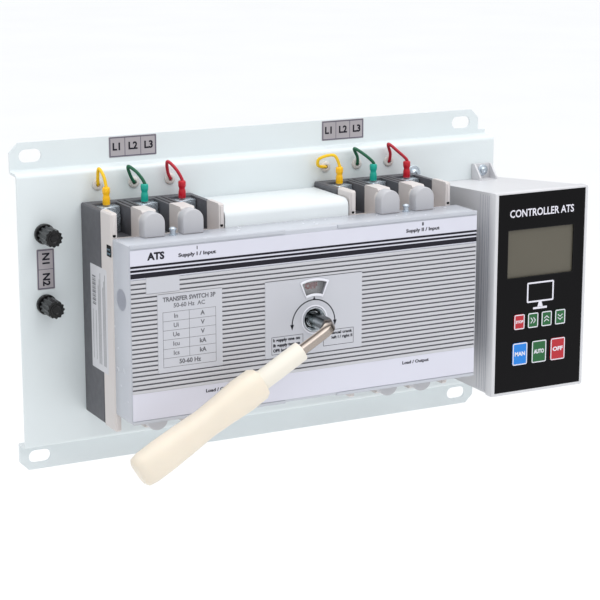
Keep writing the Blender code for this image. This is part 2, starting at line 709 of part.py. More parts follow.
def add_crank():
    pivot = (SHAFT_X, ARM_Y, SHAFT_Z)
    corner = [arm_point(0.0, forward=-ARM_BEND), arm_point(0.0), arm_point(ARM_BEND)]
    corner = [Vector(point) for point in corner]
    path = [(SHAFT_X, y, SHAFT_Z) for y in (BAR_TIP_Y, *STUB_START)]
    widths = [SOCKET_END_WIDTH, SOCKET_END_WIDTH, STUB_WIDTH]
    steps = 8
    for i in range(steps + 1):
        t = i / steps
        path.append((1 - t) ** 2 * corner[0] + 2 * t * (1 - t) * corner[1] + t**2 * corner[2])
        widths.append(STUB_WIDTH + (1.0 - STUB_WIDTH) * t)
    path.append(arm_point(BAR_END))
    widths.append(1.0)
    tube("crank_bar", path, BAR_RADIUS, CHROME, widths, 1, pivot)
    bore = BAR_RADIUS + GAP + 0.2
    near, far = SLEEVE
    sleeve = [(bore, near), (SLEEVE_RADIUS - 0.3, near), (SLEEVE_RADIUS, near + 1), (SLEEVE_RADIUS, far)]
    sleeve += [(bore, far)]
    add("grip_sleeve", along_arm(turned(sleeve, (0, 0), 20)), IVORY, pivot)
    grip = add("grip", grip_mesh(), IVORY, pivot)
    hole = [(0, GRIP[0] - 2), (bore, GRIP[0] - 2), (bore, BAR_END + 1), (0, BAR_END + 1)]
    combine(grip, along_arm(turned(hole, (0, 0), 16)), "DIFFERENCE")


def grip_mesh():
    """A hand grip lofted between rounded sections: a shoulder, a waist for the fingers and a full end."""
    length = GRIP[1] - GRIP[0]
    count = 20
    bm = bmesh.new()
    rings = []
    for part, wide, deep in GRIP_SECTIONS:
        ring = []
        for i in range(count):
            a = math.tau * i / count
            square = (abs(math.cos(a)) ** 3 + abs(math.sin(a)) ** 3) ** (-1 / 3)
            across, forward = wide * square * math.cos(a), deep * square * math.sin(a)
            place = arm_point(GRIP[0] + part * length, across, forward)
            ring.append(bm.verts.new(Vector(place) * MM))
        rings.append(ring)
    for near, far in zip(rings, rings[1:]):
        for i in range(count):
            j = (i + 1) % count
            bm.faces.new((near[i], near[j], far[j], far[i]))
    bm.faces.new(rings[0][::-1])
    bm.faces.new(rings[-1])
    mesh = bpy.data.meshes.new("grip")
    bm.to_mesh(mesh)
    bm.free()
    return finished(mesh)


# ---------------------------------------------------------------- controller


def wedge(front, rear, wall=0.0):
    """A box whose rear face is smaller than its front face, shrunk all round by a wall."""
    mesh = box((0, 1), (0, 1), (0, 1))
    for vertex in mesh.vertices:
        end = rear if vertex.co.y > MM / 2 else front
        x = end["x"][1] - wall if vertex.co.x > MM / 2 else end["x"][0] + wall
        z = end["z"][1] - wall if vertex.co.z > MM / 2 else end["z"][0] + wall
        vertex.co = Vector((x, end["y"] - (wall if end is rear else 0.0), z)) * MM
    return mesh


def add_controller():
    case = add("controller_case", wedge(CASE_FRONT, CASE_REAR), LIGHT_PLASTIC)
    cavity = wedge({**CASE_FRONT, "y": CASE_FRONT["y"] - 2}, CASE_REAR, CASE_WALL)
    combine(case, cavity, "DIFFERENCE")
    back = CASE_REAR["y"]
    top = CASE_REAR["z"][1]
    high, deep = EAR_SIZE
    ear = [(back, top - 1.5), (back, top + high), (back - 4, top + high)]
    ear += [(back - deep, top + 3), (back - deep, top - 1.5)]
    combine(case, prism([ear], EAR_X, "X"), "UNION")
    between = (EAR_X[0] + EAR_RIB, EAR_X[1] - EAR_RIB)
    hollow = box(between, (back - deep - 1, back - EAR_BACK), (top + 1.0, top + high + 1))
    combine(case, hollow, "DIFFERENCE")

    bezel = add("controller_bezel", box(BEZEL_X, BEZEL_Y, BEZEL_Z, 1.5, 2), LIGHT_PLASTIC)
    recess_x = (BEZEL_X[0] + BEZEL_RIM, BEZEL_X[1] - BEZEL_RIM)
    recess_z = (BEZEL_Z[0] + BEZEL_RIM - 0.4, BEZEL_Z[1] - BEZEL_RIM + 1.4)
    floor = BEZEL_Y[0] + RECESS_DEPTH
    combine(bezel, box(recess_x, (BEZEL_Y[0] - 1, floor), recess_z), "DIFFERENCE")
    opening = box(OPENING_X, (BEZEL_Y[0] - 2, BEZEL_Y[1] + 1), OPENING_Z)
    combine(bezel, opening, "DIFFERENCE")

    face = rectangle((recess_x[0] + GAP, recess_x[1] - GAP), (recess_z[0] + GAP, recess_z[1] - GAP))
    holes = [rectangle(DISPLAY_X, DISPLAY_Z)]
    for x, z, size in KEYS.values():
        holes.append(key_outline(x, z, size, GAP))
    panel_y = (floor - GAP - PANEL_THICK, floor - GAP)
    add("keypad_panel", prism([face, *holes], panel_y, "Y"), BLACK_PLASTIC)
    display_y = (panel_y[1] + GAP, panel_y[1] + 4.5)
    display_x = (DISPLAY_X[0] - 2.3, DISPLAY_X[1] + 2.3)
    add("display", box(display_x, display_y, (DISPLAY_Z[0] - 2.5, DISPLAY_Z[1] + 2.5)), LCD)
    board_x, board_z = [(low + 1, high - 1) for low, high in (OPENING_X, OPENING_Z)]
    add("circuit_board", box(board_x, BOARD_Y, board_z), BOARD)
    looks = {"key_stop": RED, "key_off": RED, "key_manual": BLUE}
    for name, (x, z, size) in KEYS.items():
        key = prism([key_outline(x, z, size, 0.0)], (panel_y[0] - 0.7, panel_y[1] + 1.0), "Y")
        add(name, key, looks.get(name, GREEN), (x, panel_y[0], z))


def key_outline(x, z, size, margin):
    wide, high = size[0] / 2 + margin, size[1] / 2 + margin
    corners = rectangle((x - wide, x + wide), (z - high, z + high))
    return fillet(corners, [1.6 + margin] * 4, 2)


# ---------------------------------------------------------------- neutral posts


def add_post(level):
    """A screw post: a seat on the plate, a stud through it, a washer and a scalloped nut."""
    at = (POST_X, POST_Z[level])
    back = PLATE_FRONT - GAP
    front = back - SEAT_DEPTH
    ring = [(POST_BORE, back), (SEAT_RADIUS, back), (SEAT_RADIUS, front + 0.8), (SEAT_RADIUS - 0.7, front)]
    ring += [(POST_BORE, front)]
    add(level + "_post_seat", turned(ring, at), BLACK_PLASTIC)
    head = PLATE_BACK + GAP
    stud = [(0, head + 3), (STUD_HEAD, head + 3), (STUD_HEAD, head), (STUD_RADIUS, head)]
    stud += [(STUD_RADIUS, STUD_TIP), (0, STUD_TIP)]
    add(level + "_post_stud", turned(stud, at, 16), ZINC)
    pivot = (at[0], POST_PIVOT_Y, at[1])
    low = front - GAP
    high = low - POST_WASHER[1]
    washer = [(POST_BORE, low), (POST_WASHER[0], low), (POST_WASHER[0], high), (POST_BORE, high)]
    add(level + "_post_washer", turned(washer, at, 20), ZINC, pivot)
    outline = []
    for i in range(KNOB_LOBES * 6):
        a = math.tau * i / (KNOB_LOBES * 6)
        radius = KNOB_RADIUS + KNOB_LOBE * math.cos(KNOB_LOBES * a)
        outline.append((at[0] + radius * math.cos(a), at[1] + radius * math.sin(a)))
    top = high - GAP
    nut = add(level + "_post_knob", prism([outline], (KNOB_FRONT, top), "Y"), BLACK_PLASTIC, pivot)
    hole = [(0, top + 2), (POST_BORE, top + 2), (POST_BORE, STUD_TIP - 0.4), (0, STUD_TIP - 0.4)]
    combine(nut, turned(hole, at, 16), "DIFFERENCE")


# ---------------------------------------------------------------- assembly


def build():
    add_base_plate()
    for side in BREAKER_X:
        add_breaker(side)
        for number, x in enumerate(pole_centres(BREAKER_X[side]), 1):
            add_terminal(f"{side}_terminal_top_{number}", x, 1)
            add_terminal(f"{side}_terminal_bottom_{number}", x, -1)
        for number, look in enumerate((YELLOW, GREEN, RED), 1):
            add_lead(f"{side}_lead_{number}", look)
        add_toggle(side, BLACK_PLASTIC)
    add_bracket()
    add_drive()
    add_front_cover()
    add_crank()
    add_controller()
    for level in POST_Z:
        add_post(level)


build()
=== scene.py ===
"""Looks of a wall-mounted changeover switch, around its CAD frame. Metres, +Z up, the front faces -Y."""

import json
import math

import bmesh
import bpy
from mathutils import Matrix, Vector

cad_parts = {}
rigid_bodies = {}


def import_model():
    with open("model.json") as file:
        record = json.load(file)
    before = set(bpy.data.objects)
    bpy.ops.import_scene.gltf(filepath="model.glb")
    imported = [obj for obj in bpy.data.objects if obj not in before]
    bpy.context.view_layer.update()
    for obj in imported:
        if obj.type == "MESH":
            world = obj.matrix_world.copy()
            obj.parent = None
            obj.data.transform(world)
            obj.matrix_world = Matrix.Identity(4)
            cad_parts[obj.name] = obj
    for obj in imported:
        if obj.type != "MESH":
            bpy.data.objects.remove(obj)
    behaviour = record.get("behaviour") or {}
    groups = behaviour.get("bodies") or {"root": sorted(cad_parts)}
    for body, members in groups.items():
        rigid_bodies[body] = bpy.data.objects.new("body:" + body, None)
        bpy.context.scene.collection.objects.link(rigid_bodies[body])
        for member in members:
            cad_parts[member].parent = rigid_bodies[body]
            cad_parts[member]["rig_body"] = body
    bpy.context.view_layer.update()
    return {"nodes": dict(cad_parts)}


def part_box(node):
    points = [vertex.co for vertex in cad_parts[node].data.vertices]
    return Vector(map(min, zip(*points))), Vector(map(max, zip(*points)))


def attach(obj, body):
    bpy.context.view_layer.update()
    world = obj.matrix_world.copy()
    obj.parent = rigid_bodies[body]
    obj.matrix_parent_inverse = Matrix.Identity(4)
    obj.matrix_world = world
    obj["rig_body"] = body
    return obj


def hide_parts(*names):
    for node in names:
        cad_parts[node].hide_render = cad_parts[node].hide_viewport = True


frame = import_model()
MM = 0.001
INK_DEPTH = 0.00006  # thickness of printed letters, in metres
INK_LIFT = 0.06  # how far printed lines stand out of labels and keys, in mm
FINE_INK_LIFT = 0.05  # the same on the cover

# ---------------------------------------------------------------- camera
CAMERA_PLACE = (-0.6665, -1.3465, 0.3433)
CAMERA_LOOK = (0.4513, 0.8617, -0.2318)
CAMERA_LENS = 115.2
SENSOR = 36.0


def add_camera():
    data = bpy.data.cameras.new("camera")
    data.sensor_width = SENSOR
    data.lens = CAMERA_LENS
    data.clip_start = 0.05
    camera = bpy.data.objects.new("camera", data)
    camera.location = CAMERA_PLACE
    camera.rotation_euler = Vector(CAMERA_LOOK).to_track_quat("-Z", "Y").to_euler()
    bpy.context.scene.collection.objects.link(camera)
    bpy.context.scene.camera = camera


# ---------------------------------------------------------------- materials
NOISE_LOW, NOISE_HIGH = 0.3, 0.7  # the part of the noise's range that holds nearly all of it


def colour(red, green, blue):
    """Linear colour of 8-bit sRGB values."""
    return tuple(
        (c / 255 / 12.92 if c <= 10 else ((c / 255 + 0.055) / 1.055) ** 2.4) for c in (red, green, blue)
    ) + (1.0,)


def shade(tone, factor):
    return tuple(min(1.0, c * factor) for c in tone[:3]) + (1.0,)


class Look:
    """A Principled material whose colour, roughness and bump come from noise in object space."""

    def __init__(self, name, tone, rough, metal=0.0, tone_spread=0.05, rough_spread=0.1,
                 grain=1800, bump=0.05, patch=25, detail=3.0, distance=0.0002):
        self.material = bpy.data.materials.new(name)
        self.material.use_nodes = True
        self.material.diffuse_color = tone
        self.nodes = self.material.node_tree.nodes
        self.links = self.material.node_tree.links
        self.nodes.clear()
        self.shader = self.nodes.new("ShaderNodeBsdfPrincipled")
        output = self.nodes.new("ShaderNodeOutputMaterial")
        self.links.new(self.shader.outputs[0], output.inputs["Surface"])
        self.shader.inputs["Metallic"].default_value = metal
        self.place = self.nodes.new("ShaderNodeTexCoord").outputs["Object"]
        tones = self.ramp(self.noise(patch, 2.0), [(NOISE_LOW, shade(tone, 1 - tone_spread)),
                                                   (NOISE_HIGH, shade(tone, 1 + tone_spread))])
        self.links.new(tones, self.shader.inputs["Base Color"])
        worn = self.noise(patch * 7, 3.0)
        roughness = self.spread(worn, rough - rough_spread / 2, rough + rough_spread / 2)
        self.links.new(roughness, self.shader.inputs["Roughness"])
        self.normal = self.bump(self.noise(grain, detail), bump, distance)
        self.links.new(self.normal, self.shader.inputs["Normal"])

    def noise(self, scale, detail):
        node = self.nodes.new("ShaderNodeTexNoise")
        node.inputs["Scale"].default_value = scale
        node.inputs["Detail"].default_value = detail
        self.links.new(self.place, node.inputs["Vector"])
        return node.outputs["Fac"]

    def ramp(self, factor, stops):
        node = self.nodes.new("ShaderNodeValToRGB")
        for stop, (place, tone) in zip(node.color_ramp.elements, stops):
            stop.position = place
            stop.color = tone
        for place, tone in stops[2:]:
            node.color_ramp.elements.new(place).color = tone
        self.links.new(factor, node.inputs["Fac"])
        return node.outputs["Color"]

    def spread(self, factor, low, high):
        node = self.nodes.new("ShaderNodeMapRange")
        node.inputs["From Min"].default_value = NOISE_LOW
        node.inputs["From Max"].default_value = NOISE_HIGH
        node.inputs["To Min"].default_value = low
        node.inputs["To Max"].default_value = high
        self.links.new(factor, node.inputs["Value"])
        return node.outputs["Result"]

    def bump(self, height, strength, distance, before=None):
        node = self.nodes.new("ShaderNodeBump")
        node.inputs["Strength"].default_value = strength
        node.inputs["Distance"].default_value = distance
        self.links.new(height, node.inputs["Height"])
        if before is not None:
            self.links.new(before, node.inputs["Normal"])
        return node.outputs["Normal"]

    def set(self, **values):
        for name, value in values.items():
            self.shader.inputs[name.replace("_", " ")].default_value = value
        return self

    def waves(self, scale, direction, strength, distance):
        """Fine parallel lines on top of the grain."""
        node = self.nodes.new("ShaderNodeTexWave")
        node.bands_direction = direction
        node.inputs["Scale"].default_value = scale
        node.inputs["Distortion"].default_value = 0.6
        self.links.new(self.place, node.inputs["Vector"])
        top = self.bump(node.outputs["Fac"], strength, distance, self.normal)
        self.links.new(top, self.shader.inputs["Normal"])
        return self

    def across(self, axis, low, high, stops):
        """A colour that changes along one axis of object space, between two places."""
        parts = self.nodes.new("ShaderNodeSeparateXYZ")
        self.links.new(self.place, parts.inputs["Vector"])
        reach = self.nodes.new("ShaderNodeMapRange")
        reach.inputs["From Min"].default_value = low
        reach.inputs["From Max"].default_value = high
        self.links.new(parts.outputs[axis], reach.inputs["Value"])
        return self.ramp(reach.outputs["Result"], stops)

    def painted_reflections(self, arm, stub, switch):
        """Painted reflections along a bent bar: light and dark lines, one ramp on its arm and another on its
        stub, which lies along Y.
        """
        mix = self.nodes.new("ShaderNodeMix")
        mix.data_type = "RGBA"
        self.links.new(self.across("Y", *switch, [(0.0, (0, 0, 0, 1)), (1.0, (1, 1, 1, 1))]), mix.inputs[0])
        self.links.new(self.across("Y", *arm), mix.inputs[6])
        self.links.new(self.across("Z", *stub), mix.inputs[7])
        self.links.new(mix.outputs[2], self.shader.inputs["Base Color"])
        return self


def reflection_lines(dark, middle, light):
    """Painted reflections: the light and dark lines that a polished bar mirrors along its length, as colour
    stops.
    """
    return [(0.0, middle), (0.16, light), (0.3, middle), (0.38, dark), (0.5, middle), (0.62, light),
            (0.74, middle), (0.84, dark), (1.0, middle)]


def make_looks():
    look = {}

    def new(name, *values, **options):
        made = Look(name, *values, **options)
        look[name] = made.material
        return made

    new("paint", colour(219, 226, 228), 0.36, tone_spread=0.01, rough_spread=0.05, grain=700, bump=0.08,
        detail=2.0, distance=0.0004).set(Coat_Weight=0.15, Coat_Roughness=0.2)
    new("paint_bracket", colour(222, 227, 229), 0.38, tone_spread=0.01, rough_spread=0.05, grain=700,
        bump=0.08, distance=0.0004).set(Coat_Weight=0.15, Coat_Roughness=0.2)
    new("base_plastic", colour(84, 84, 89), 0.5, tone_spread=0.05, grain=2600, bump=0.22)
    new("body_plastic", colour(208, 202, 200), 0.42, tone_spread=0.02, rough_spread=0.05, grain=2400,
        bump=0.14)
    new("boss_plastic", colour(186, 186, 190), 0.34, tone_spread=0.02, rough_spread=0.05, grain=2400,
        bump=0.1)
    new("cover_plastic", colour(186, 189, 197), 0.26, tone_spread=0.015, rough_spread=0.03, grain=2200,
        bump=0.05)
    # painted shade: a dark tone for the shadow each rib casts into the groove below it
    new("groove_shade", colour(84, 84, 90), 0.45, tone_spread=0.04, grain=2200, bump=0.1)
    new("rib_plastic", colour(192, 192, 197), 0.36, tone_spread=0.015, rough_spread=0.04, grain=2200,
        bump=0.08)
    new("film", colour(209, 209, 221), 0.33, tone_spread=0.01, rough_spread=0.04, grain=1200, bump=0.02)
    new("plate_film", colour(191, 192, 199), 0.36, tone_spread=0.012, rough_spread=0.04, grain=1400,
        bump=0.03)
    new("rim_white", colour(226, 226, 234), 0.3, tone_spread=0.012, grain=1400, bump=0.03)
    new("ink_black", colour(22, 20, 32), 0.4, tone_spread=0.08, grain=1500, bump=0.03).set(
        Specular_IOR_Level=0.25)
    new("ink_grey", colour(92, 92, 98), 0.45, tone_spread=0.08, grain=1500, bump=0.03)
    new("ink_white", colour(222, 220, 230), 0.42, tone_spread=0.03, grain=1500, bump=0.03)
    new("ink_red", colour(128, 4, 4), 0.42, tone_spread=0.06, grain=1500, bump=0.03)
    new("label_ground", colour(166, 160, 164), 0.4, tone_spread=0.03, grain=1200, bump=0.05)
    new("label_edge", colour(96, 92, 106), 0.42, tone_spread=0.05, grain=1200, bump=0.05)
    new("paper", colour(206, 206, 210), 0.6, tone_spread=0.02, grain=1800, bump=0.08)
    new("black_plastic", colour(13, 13, 14), 0.22, tone_spread=0.12, grain=2200, bump=0.16).set(
        Specular_IOR_Level=0.35)
    new("panel_black", colour(6, 5, 7), 0.2, tone_spread=0.1, rough_spread=0.04, grain=900, bump=0.02).set(
        Specular_IOR_Level=0.12)
    new("case_plastic", colour(206, 206, 209), 0.36, tone_spread=0.02, rough_spread=0.04, grain=2200,
        bump=0.10)
    new("chrome", colour(196, 199, 203), 0.1, 1.0, tone_spread=0.04, rough_spread=0.06, grain=900, bump=0.03)
    # painted reflections: light and dark lines in the bar's colour stand for the studio mirrored in the
    # polished arm and stub
    arm_reflections = reflection_lines(colour(52, 46, 42), colour(138, 128, 121), colour(188, 177, 168))
    stub_reflections = reflection_lines(colour(40, 44, 45), colour(122, 130, 132), colour(205, 211, 212))
    new("bar_steel_painted_reflections", colour(138, 128, 121), 0.25, 1.0, tone_spread=0.1, grain=700, bump=0.08).painted_reflections(
        (-0.1410, -0.1310, arm_reflections), (-0.0122, 0.0000, stub_reflections), (-0.1315, -0.1280))
    new("zinc", colour(198, 208, 217), 0.28, 0.8, tone_spread=0.1, rough_spread=0.12, grain=800, bump=0.1,
        patch=160)
    new("steel", colour(150, 152, 155), 0.36, 1.0, tone_spread=0.08, rough_spread=0.16, grain=1200, bump=0.14)
    new("ivory_sleeve", colour(228, 222, 210), 0.42, tone_spread=0.012, grain=1500, bump=0.08)
    new("ivory", colour(231, 220, 203), 0.42, tone_spread=0.015, rough_spread=0.06, grain=1500, bump=0.1,
        patch=40).set(Subsurface_Weight=0.1, Subsurface_Radius=(0.004, 0.003, 0.002), Subsurface_Scale=0.5)
    new("nylon", colour(210, 206, 202), 0.4, tone_spread=0.03, grain=1500, bump=0.06).set(
        Subsurface_Weight=0.15, Subsurface_Radius=(0.002, 0.002, 0.002), Subsurface_Scale=0.5)
    new("disc_plastic", colour(150, 146, 146), 0.4, tone_spread=0.03, grain=1800, bump=0.06)
    new("pane", colour(222, 226, 230), 0.06, tone_spread=0.01, rough_spread=0.04, grain=400, bump=0.01).set(
        Alpha=0.14)
    new("lcd", colour(94, 90, 80), 0.3, tone_spread=0.03, rough_spread=0.05, grain=300, bump=0.01,
        patch=12).set(Specular_IOR_Level=0.2).waves(700, "X", 0.05, 0.00005)
    new("board", colour(24, 92, 52), 0.4, tone_spread=0.1, grain=900, bump=0.2, patch=200)
    # painted shade: a near-black tone laid in slots, holes and window edges where shade falls
    new("painted_recess_shade", colour(14, 14, 16), 0.6, tone_spread=0.1, grain=1500, bump=0.1).set(
        Specular_IOR_Level=0.2)
    new("clip_metal", colour(120, 150, 165), 0.25, 1.0, tone_spread=0.15, rough_spread=0.1, grain=900,
        bump=0.1)
    new("oval_tone", colour(150, 153, 164), 0.32, tone_spread=0.03, grain=2200, bump=0.05)
    for name, tone in (("yellow", (242, 196, 20)), ("green", (12, 92, 62)), ("red", (178, 22, 44))):
        new(f"wire_{name}", colour(*tone), 0.36, tone_spread=0.06, grain=1500, bump=0.06)
    for name, tone in (("yellow", (250, 190, 10)), ("green", (10, 168, 150)), ("red", (190, 12, 36))):
        new(f"boot_{name}", colour(*tone), 0.33, tone_spread=0.04, grain=1500, bump=0.05).set(
            Subsurface_Weight=0.08, Subsurface_Radius=(0.001, 0.001, 0.001), Subsurface_Scale=0.5)
    for name, tone in (("red", (176, 18, 36)), ("green", (4, 90, 40)), ("blue", (8, 122, 212))):
        new(f"key_{name}", colour(*tone), 0.34, tone_spread=0.04, grain=1300, bump=0.05)
    return look


# ---------------------------------------------------------------- shapes
def place_object(name, data, material, body):
    obj = bpy.data.objects.new(name, data)
    bpy.context.scene.collection.objects.link(obj)
    data.materials.clear()
    data.materials.append(material)
    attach(obj, body)
    return obj


def shade_smooth(mesh, angle=32):
    """Smooth shading, with a sharp edge wherever the surface turns by more than the angle."""
    form = bmesh.new()
    form.from_mesh(mesh)
    bmesh.ops.remove_doubles(form, verts=form.verts, dist=2e-6)
    bmesh.ops.dissolve_degenerate(form, dist=1e-7, edges=form.edges)
    for face in form.faces:
        face.smooth = True
    for edge in form.edges:
        turn = edge.calc_face_angle(math.pi) if len(edge.link_faces) == 2 else math.pi
        edge.smooth = turn < math.radians(angle)
    form.to_mesh(mesh)
    form.free()
    return mesh


def gather(name, meshes, material, body, angle=32):
    """One piece made of several meshes."""
    form = bmesh.new()
    for mesh in meshes:
        form.from_mesh(mesh)
    data = bpy.data.meshes.new(name)
    form.to_mesh(data)
    form.free()
    return place_object(name, shade_smooth(data, angle), material, body)


def from_curve(curve):
    obj = bpy.data.objects.new("form", curve)
    bpy.context.scene.collection.objects.link(obj)
    bpy.context.view_layer.update()
    mesh = bpy.data.meshes.new_from_object(obj.evaluated_get(bpy.context.evaluated_depsgraph_get()))
    bpy.data.objects.remove(obj)
    bpy.data.curves.remove(curve)
    return mesh


def relief(outlines, front, back, bevel=0.0, turn=None):
    """A flat form of closed outlines, holes included, in the XZ plane between two depths in Y."""
    curve = bpy.data.curves.new("form", "CURVE")
    curve.dimensions = "2D"
    curve.fill_mode = "BOTH"
    curve.extrude = abs(back - front) / 2 - bevel
    curve.bevel_depth = bevel
    curve.bevel_resolution = 1
    curve.offset = -bevel
    for outline in outlines:
        spline = curve.splines.new("POLY")
        spline.points.add(len(outline) - 1)
        spline.points.foreach_set("co", [v for x, z in outline for v in (x, z, 0, 1)])
        spline.use_cyclic_u = True
    mesh = from_curve(curve)
    mesh.transform(Matrix.Rotation(math.pi / 2, 4, "X"))
    mesh.transform(Matrix.Translation((0, (front + back) / 2, 0)))
    if turn is not None:
        mesh.transform(turn)
    return mesh


def rectangle(x0, x1, z0, z1, radius=0.0, steps=4):
    if not radius:
        return [(x0, z0), (x1, z0), (x1, z1), (x0, z1)]
    points = []
    for cx, cz, first in ((x1 - radius, z0 + radius, -90), (x1 - radius, z1 - radius, 0),
                          (x0 + radius, z1 - radius, 90), (x0 + radius, z0 + radius, 180)):
        for i in range(steps + 1):
            a = math.radians(first + 90 * i / steps)
            points.append((cx + radius * math.cos(a), cz + radius * math.sin(a)))
    return points


def ring_band(x0, x1, z0, z1, width, radius=0.0):
    """Outlines of a frame of this stroke width inside a rectangle."""
    inner = max(radius - width, 0.0)
    return [rectangle(x0, x1, z0, z1, radius),
            rectangle(x0 + width, x1 - width, z0 + width, z1 - width, inner)]


def disc(cx, cz, radius, steps=40):
    return [(cx + radius * math.cos(2 * math.pi * i / steps), cz + radius * math.sin(2 * math.pi * i / steps))
            for i in range(steps)]


def fan(cx, cz, low, high, half_angle, steps=14):
    angles = [math.radians(90 - half_angle + 2 * half_angle * i / steps) for i in range(steps + 1)]
    outer = [(cx + high * math.cos(a), cz + high * math.sin(a)) for a in angles]
    inner = [(cx + low * math.cos(a), cz + low * math.sin(a)) for a in reversed(angles)]
    return outer + inner


def arc_band(cx, cz, radius, width, first, last, steps=40):
    angles = [math.radians(first + (last - first) * i / steps) for i in range(steps + 1)]
    outer = [(cx + (radius + width / 2) * math.cos(a), cz + (radius + width / 2) * math.sin(a))
             for a in angles]
    inner = [(cx + (radius - width / 2) * math.cos(a), cz + (radius - width / 2) * math.sin(a))
             for a in reversed(angles)]
    return outer + inner


def stroke(points, width):
    """Outline of an open polyline drawn with this width, mitred."""
    left, right = [], []
    for i, (x, z) in enumerate(points):
        before = Vector(points[i]) - Vector(points[i - 1]) if i else None
        after = Vector(points[i + 1]) - Vector(points[i]) if i + 1 < len(points) else None
        ways = [w.normalized() for w in (before, after) if w is not None]
        along = sum(ways, Vector((0, 0))).normalized()
        across = Vector((-along.y, along.x)) * (width / 2 / max(0.4, along.dot(ways[0])))
        left.append((x + across.x, z + across.y))
        right.append((x - across.x, z - across.y))
    return left + right[::-1]


def turned(profile, centre, axis=(0, -1, 0), steps=32):
    """A form of revolution: profile holds (distance along the axis, radius) pairs."""
    form = bmesh.new()
    rings = []
    for along, radius in profile:
        count = steps if radius > 1e-7 else 1
        rings.append([form.verts.new((radius * math.cos(2 * math.pi * i / steps),
                                      radius * math.sin(2 * math.pi * i / steps), along))
                      for i in range(count)])
    for low, high in zip(rings, rings[1:]):
        for i in range(steps):
            j = (i + 1) % steps
            if len(low) == 1 and len(high) > 1:
                form.faces.new((low[0], high[j], high[i]))
            elif len(high) == 1 and len(low) > 1:
                form.faces.new((low[i], low[j], high[0]))
            elif len(low) > 1:
                form.faces.new((low[i], low[j], high[j], high[i]))
    for ends in (rings[0], rings[-1]):
        if len(ends) > 1 and profile[0] != profile[-1]:
            form.faces.new(ends)
    if profile[0] == profile[-1]:
        bmesh.ops.remove_doubles(form, verts=form.verts, dist=1e-7)
    bmesh.ops.recalc_face_normals(form, faces=form.faces)
    mesh = bpy.data.meshes.new("turned")
    form.to_mesh(mesh)
    form.free()
    mesh.transform(Vector((0, 0, 1)).rotation_difference(Vector(axis)).to_matrix().to_4x4())
    mesh.transform(Matrix.Translation(centre))
    return mesh


def block(low, high, bevel=0.0):
    form = bmesh.new()
    bmesh.ops.create_cube(form, size=1.0)
    size = [b - a for a, b in zip(low, high)]
    middle = [(a + b) / 2 for a, b in zip(low, high)]
    bmesh.ops.scale(form, vec=size, verts=form.verts)
    bmesh.ops.translate(form, vec=middle, verts=form.verts)
    if bevel:
        bmesh.ops.bevel(form, geom=form.edges[:], offset=bevel, segments=2, profile=0.6,
                        affect="EDGES")
    mesh = bpy.data.meshes.new("block")
    form.to_mesh(mesh)
    form.free()
    return mesh


def words(text, x, z, size, front, align="CENTER", turn=0.0, wide=None, bold=0.02):
    """Flat lettering at a point of a face that looks along -Y. It can be stretched to a width."""
    font = bpy.data.curves.new("form", "FONT")
    font.body = text
    font.size = size
    font.offset = size * bold
    font.extrude = INK_DEPTH / 2
    font.align_x = align
    font.align_y = "CENTER"
    font.resolution_u = 3
    mesh = from_curve(font)
    if wide:
        reach = [v.co.x for v in mesh.vertices]
        mesh.transform(Matrix.Diagonal((wide / (max(reach) - min(reach)), 1, 1, 1)))
    mesh.transform(Matrix.Rotation(turn, 4, "Z"))
    mesh.transform(Matrix.Rotation(math.pi / 2, 4, "X"))
    mesh.transform(Matrix.Translation((x, front, z)))
    return mesh


def refined(node, material, angle=32):
    """Stands for a CAD node whose shape is right: the same form with welded, smoothly shaded faces."""
    source = frame["nodes"][node]
    mesh = shade_smooth(source.data.copy(), angle)
    piece = place_object(f"{node}_finish", mesh, material, source["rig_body"])
    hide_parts(node)


def paint(node, material):
    for slot in frame["nodes"][node].material_slots:
        slot.material = material


def box_mm(node):
    low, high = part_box(node)
    return [v / MM for v in low], [v / MM for v in high]


def mm(*values):
    return tuple(v * MM for v in values)


def rect_mm(x0, x1, z0, z1, radius=0.0):
    return rectangle(*mm(x0, x1, z0, z1, radius))


def outline_mm(points):
    return [mm(*p) for p in points]


def lathe(profile, centre, axis=(0, -1, 0), steps=32):
    """A form of revolution whose profile and centre are in mm."""
    return turned(outline_mm(profile), mm(*centre), axis, steps)


# ---------------------------------------------------------------- sense leads
WIRE_RADIUS = 1.25
PLATE_BACK_Y = -9.1
BOOT_Y = -32.0
BOOT_TOP = 94.0
BOOT_FOOT = 80.6
# How far down the boot, as a share of its length, and its width as a multiple of the wire's
BOOT_PROFILE = (
    (0, 1.8), (0.03, 2.15), (0.08, 2.35), (0.26, 2.35), (0.34, 2.25), (0.42, 1.88), (0.48, 1.85),
    (0.56, 2.1), (0.64, 2.25), (0.96, 2.25), (1, 2.0),
)
CURVE_STEPS = 8
BUSH = ((0, 1.6), (0, 4.3), (0.5, 4.5), (1.3, 4.1), (1.9, 3.0), (1.9, 1.7), (0, 1.6))
# Colour, hole in the plate (x, z) and the points of the route between the hole and the boot
LEADS = {
    "left_lead_1": ("yellow", (-141.4, 93.6),
                    ((-143.0, -21, 99.5), (-143.6, -25, 107.0), (-142.0, -30, 102.5))),
    "left_lead_2": ("green", (-112.0, 93.0),
                    ((-116.0, -20, 98.5), (-119.6, -24, 106.8), (-114.5, -29, 102.5))),
    "left_lead_3": ("red", (-82.2, 93.3),
                    ((-85.5, -20, 99.5), (-87.3, -24, 108.0), (-83.0, -29.5, 103.0))),
    "right_lead_1": ("yellow", (52.8, 92.2),
                     ((43.5, -22, 94.5), (42.5, -26, 100.8), (52.5, -31, 103.4))),
    "right_lead_2": ("green", (81.4, 92.4),
                     ((80.0, -20, 98.5), (75.0, -24, 106.2), (81.5, -29, 101.5))),
    "right_lead_3": ("red", (110.9, 92.3),
                     ((110.5, -20, 99.0), (106.3, -24, 107.6), (112.8, -29, 101.5))),
}


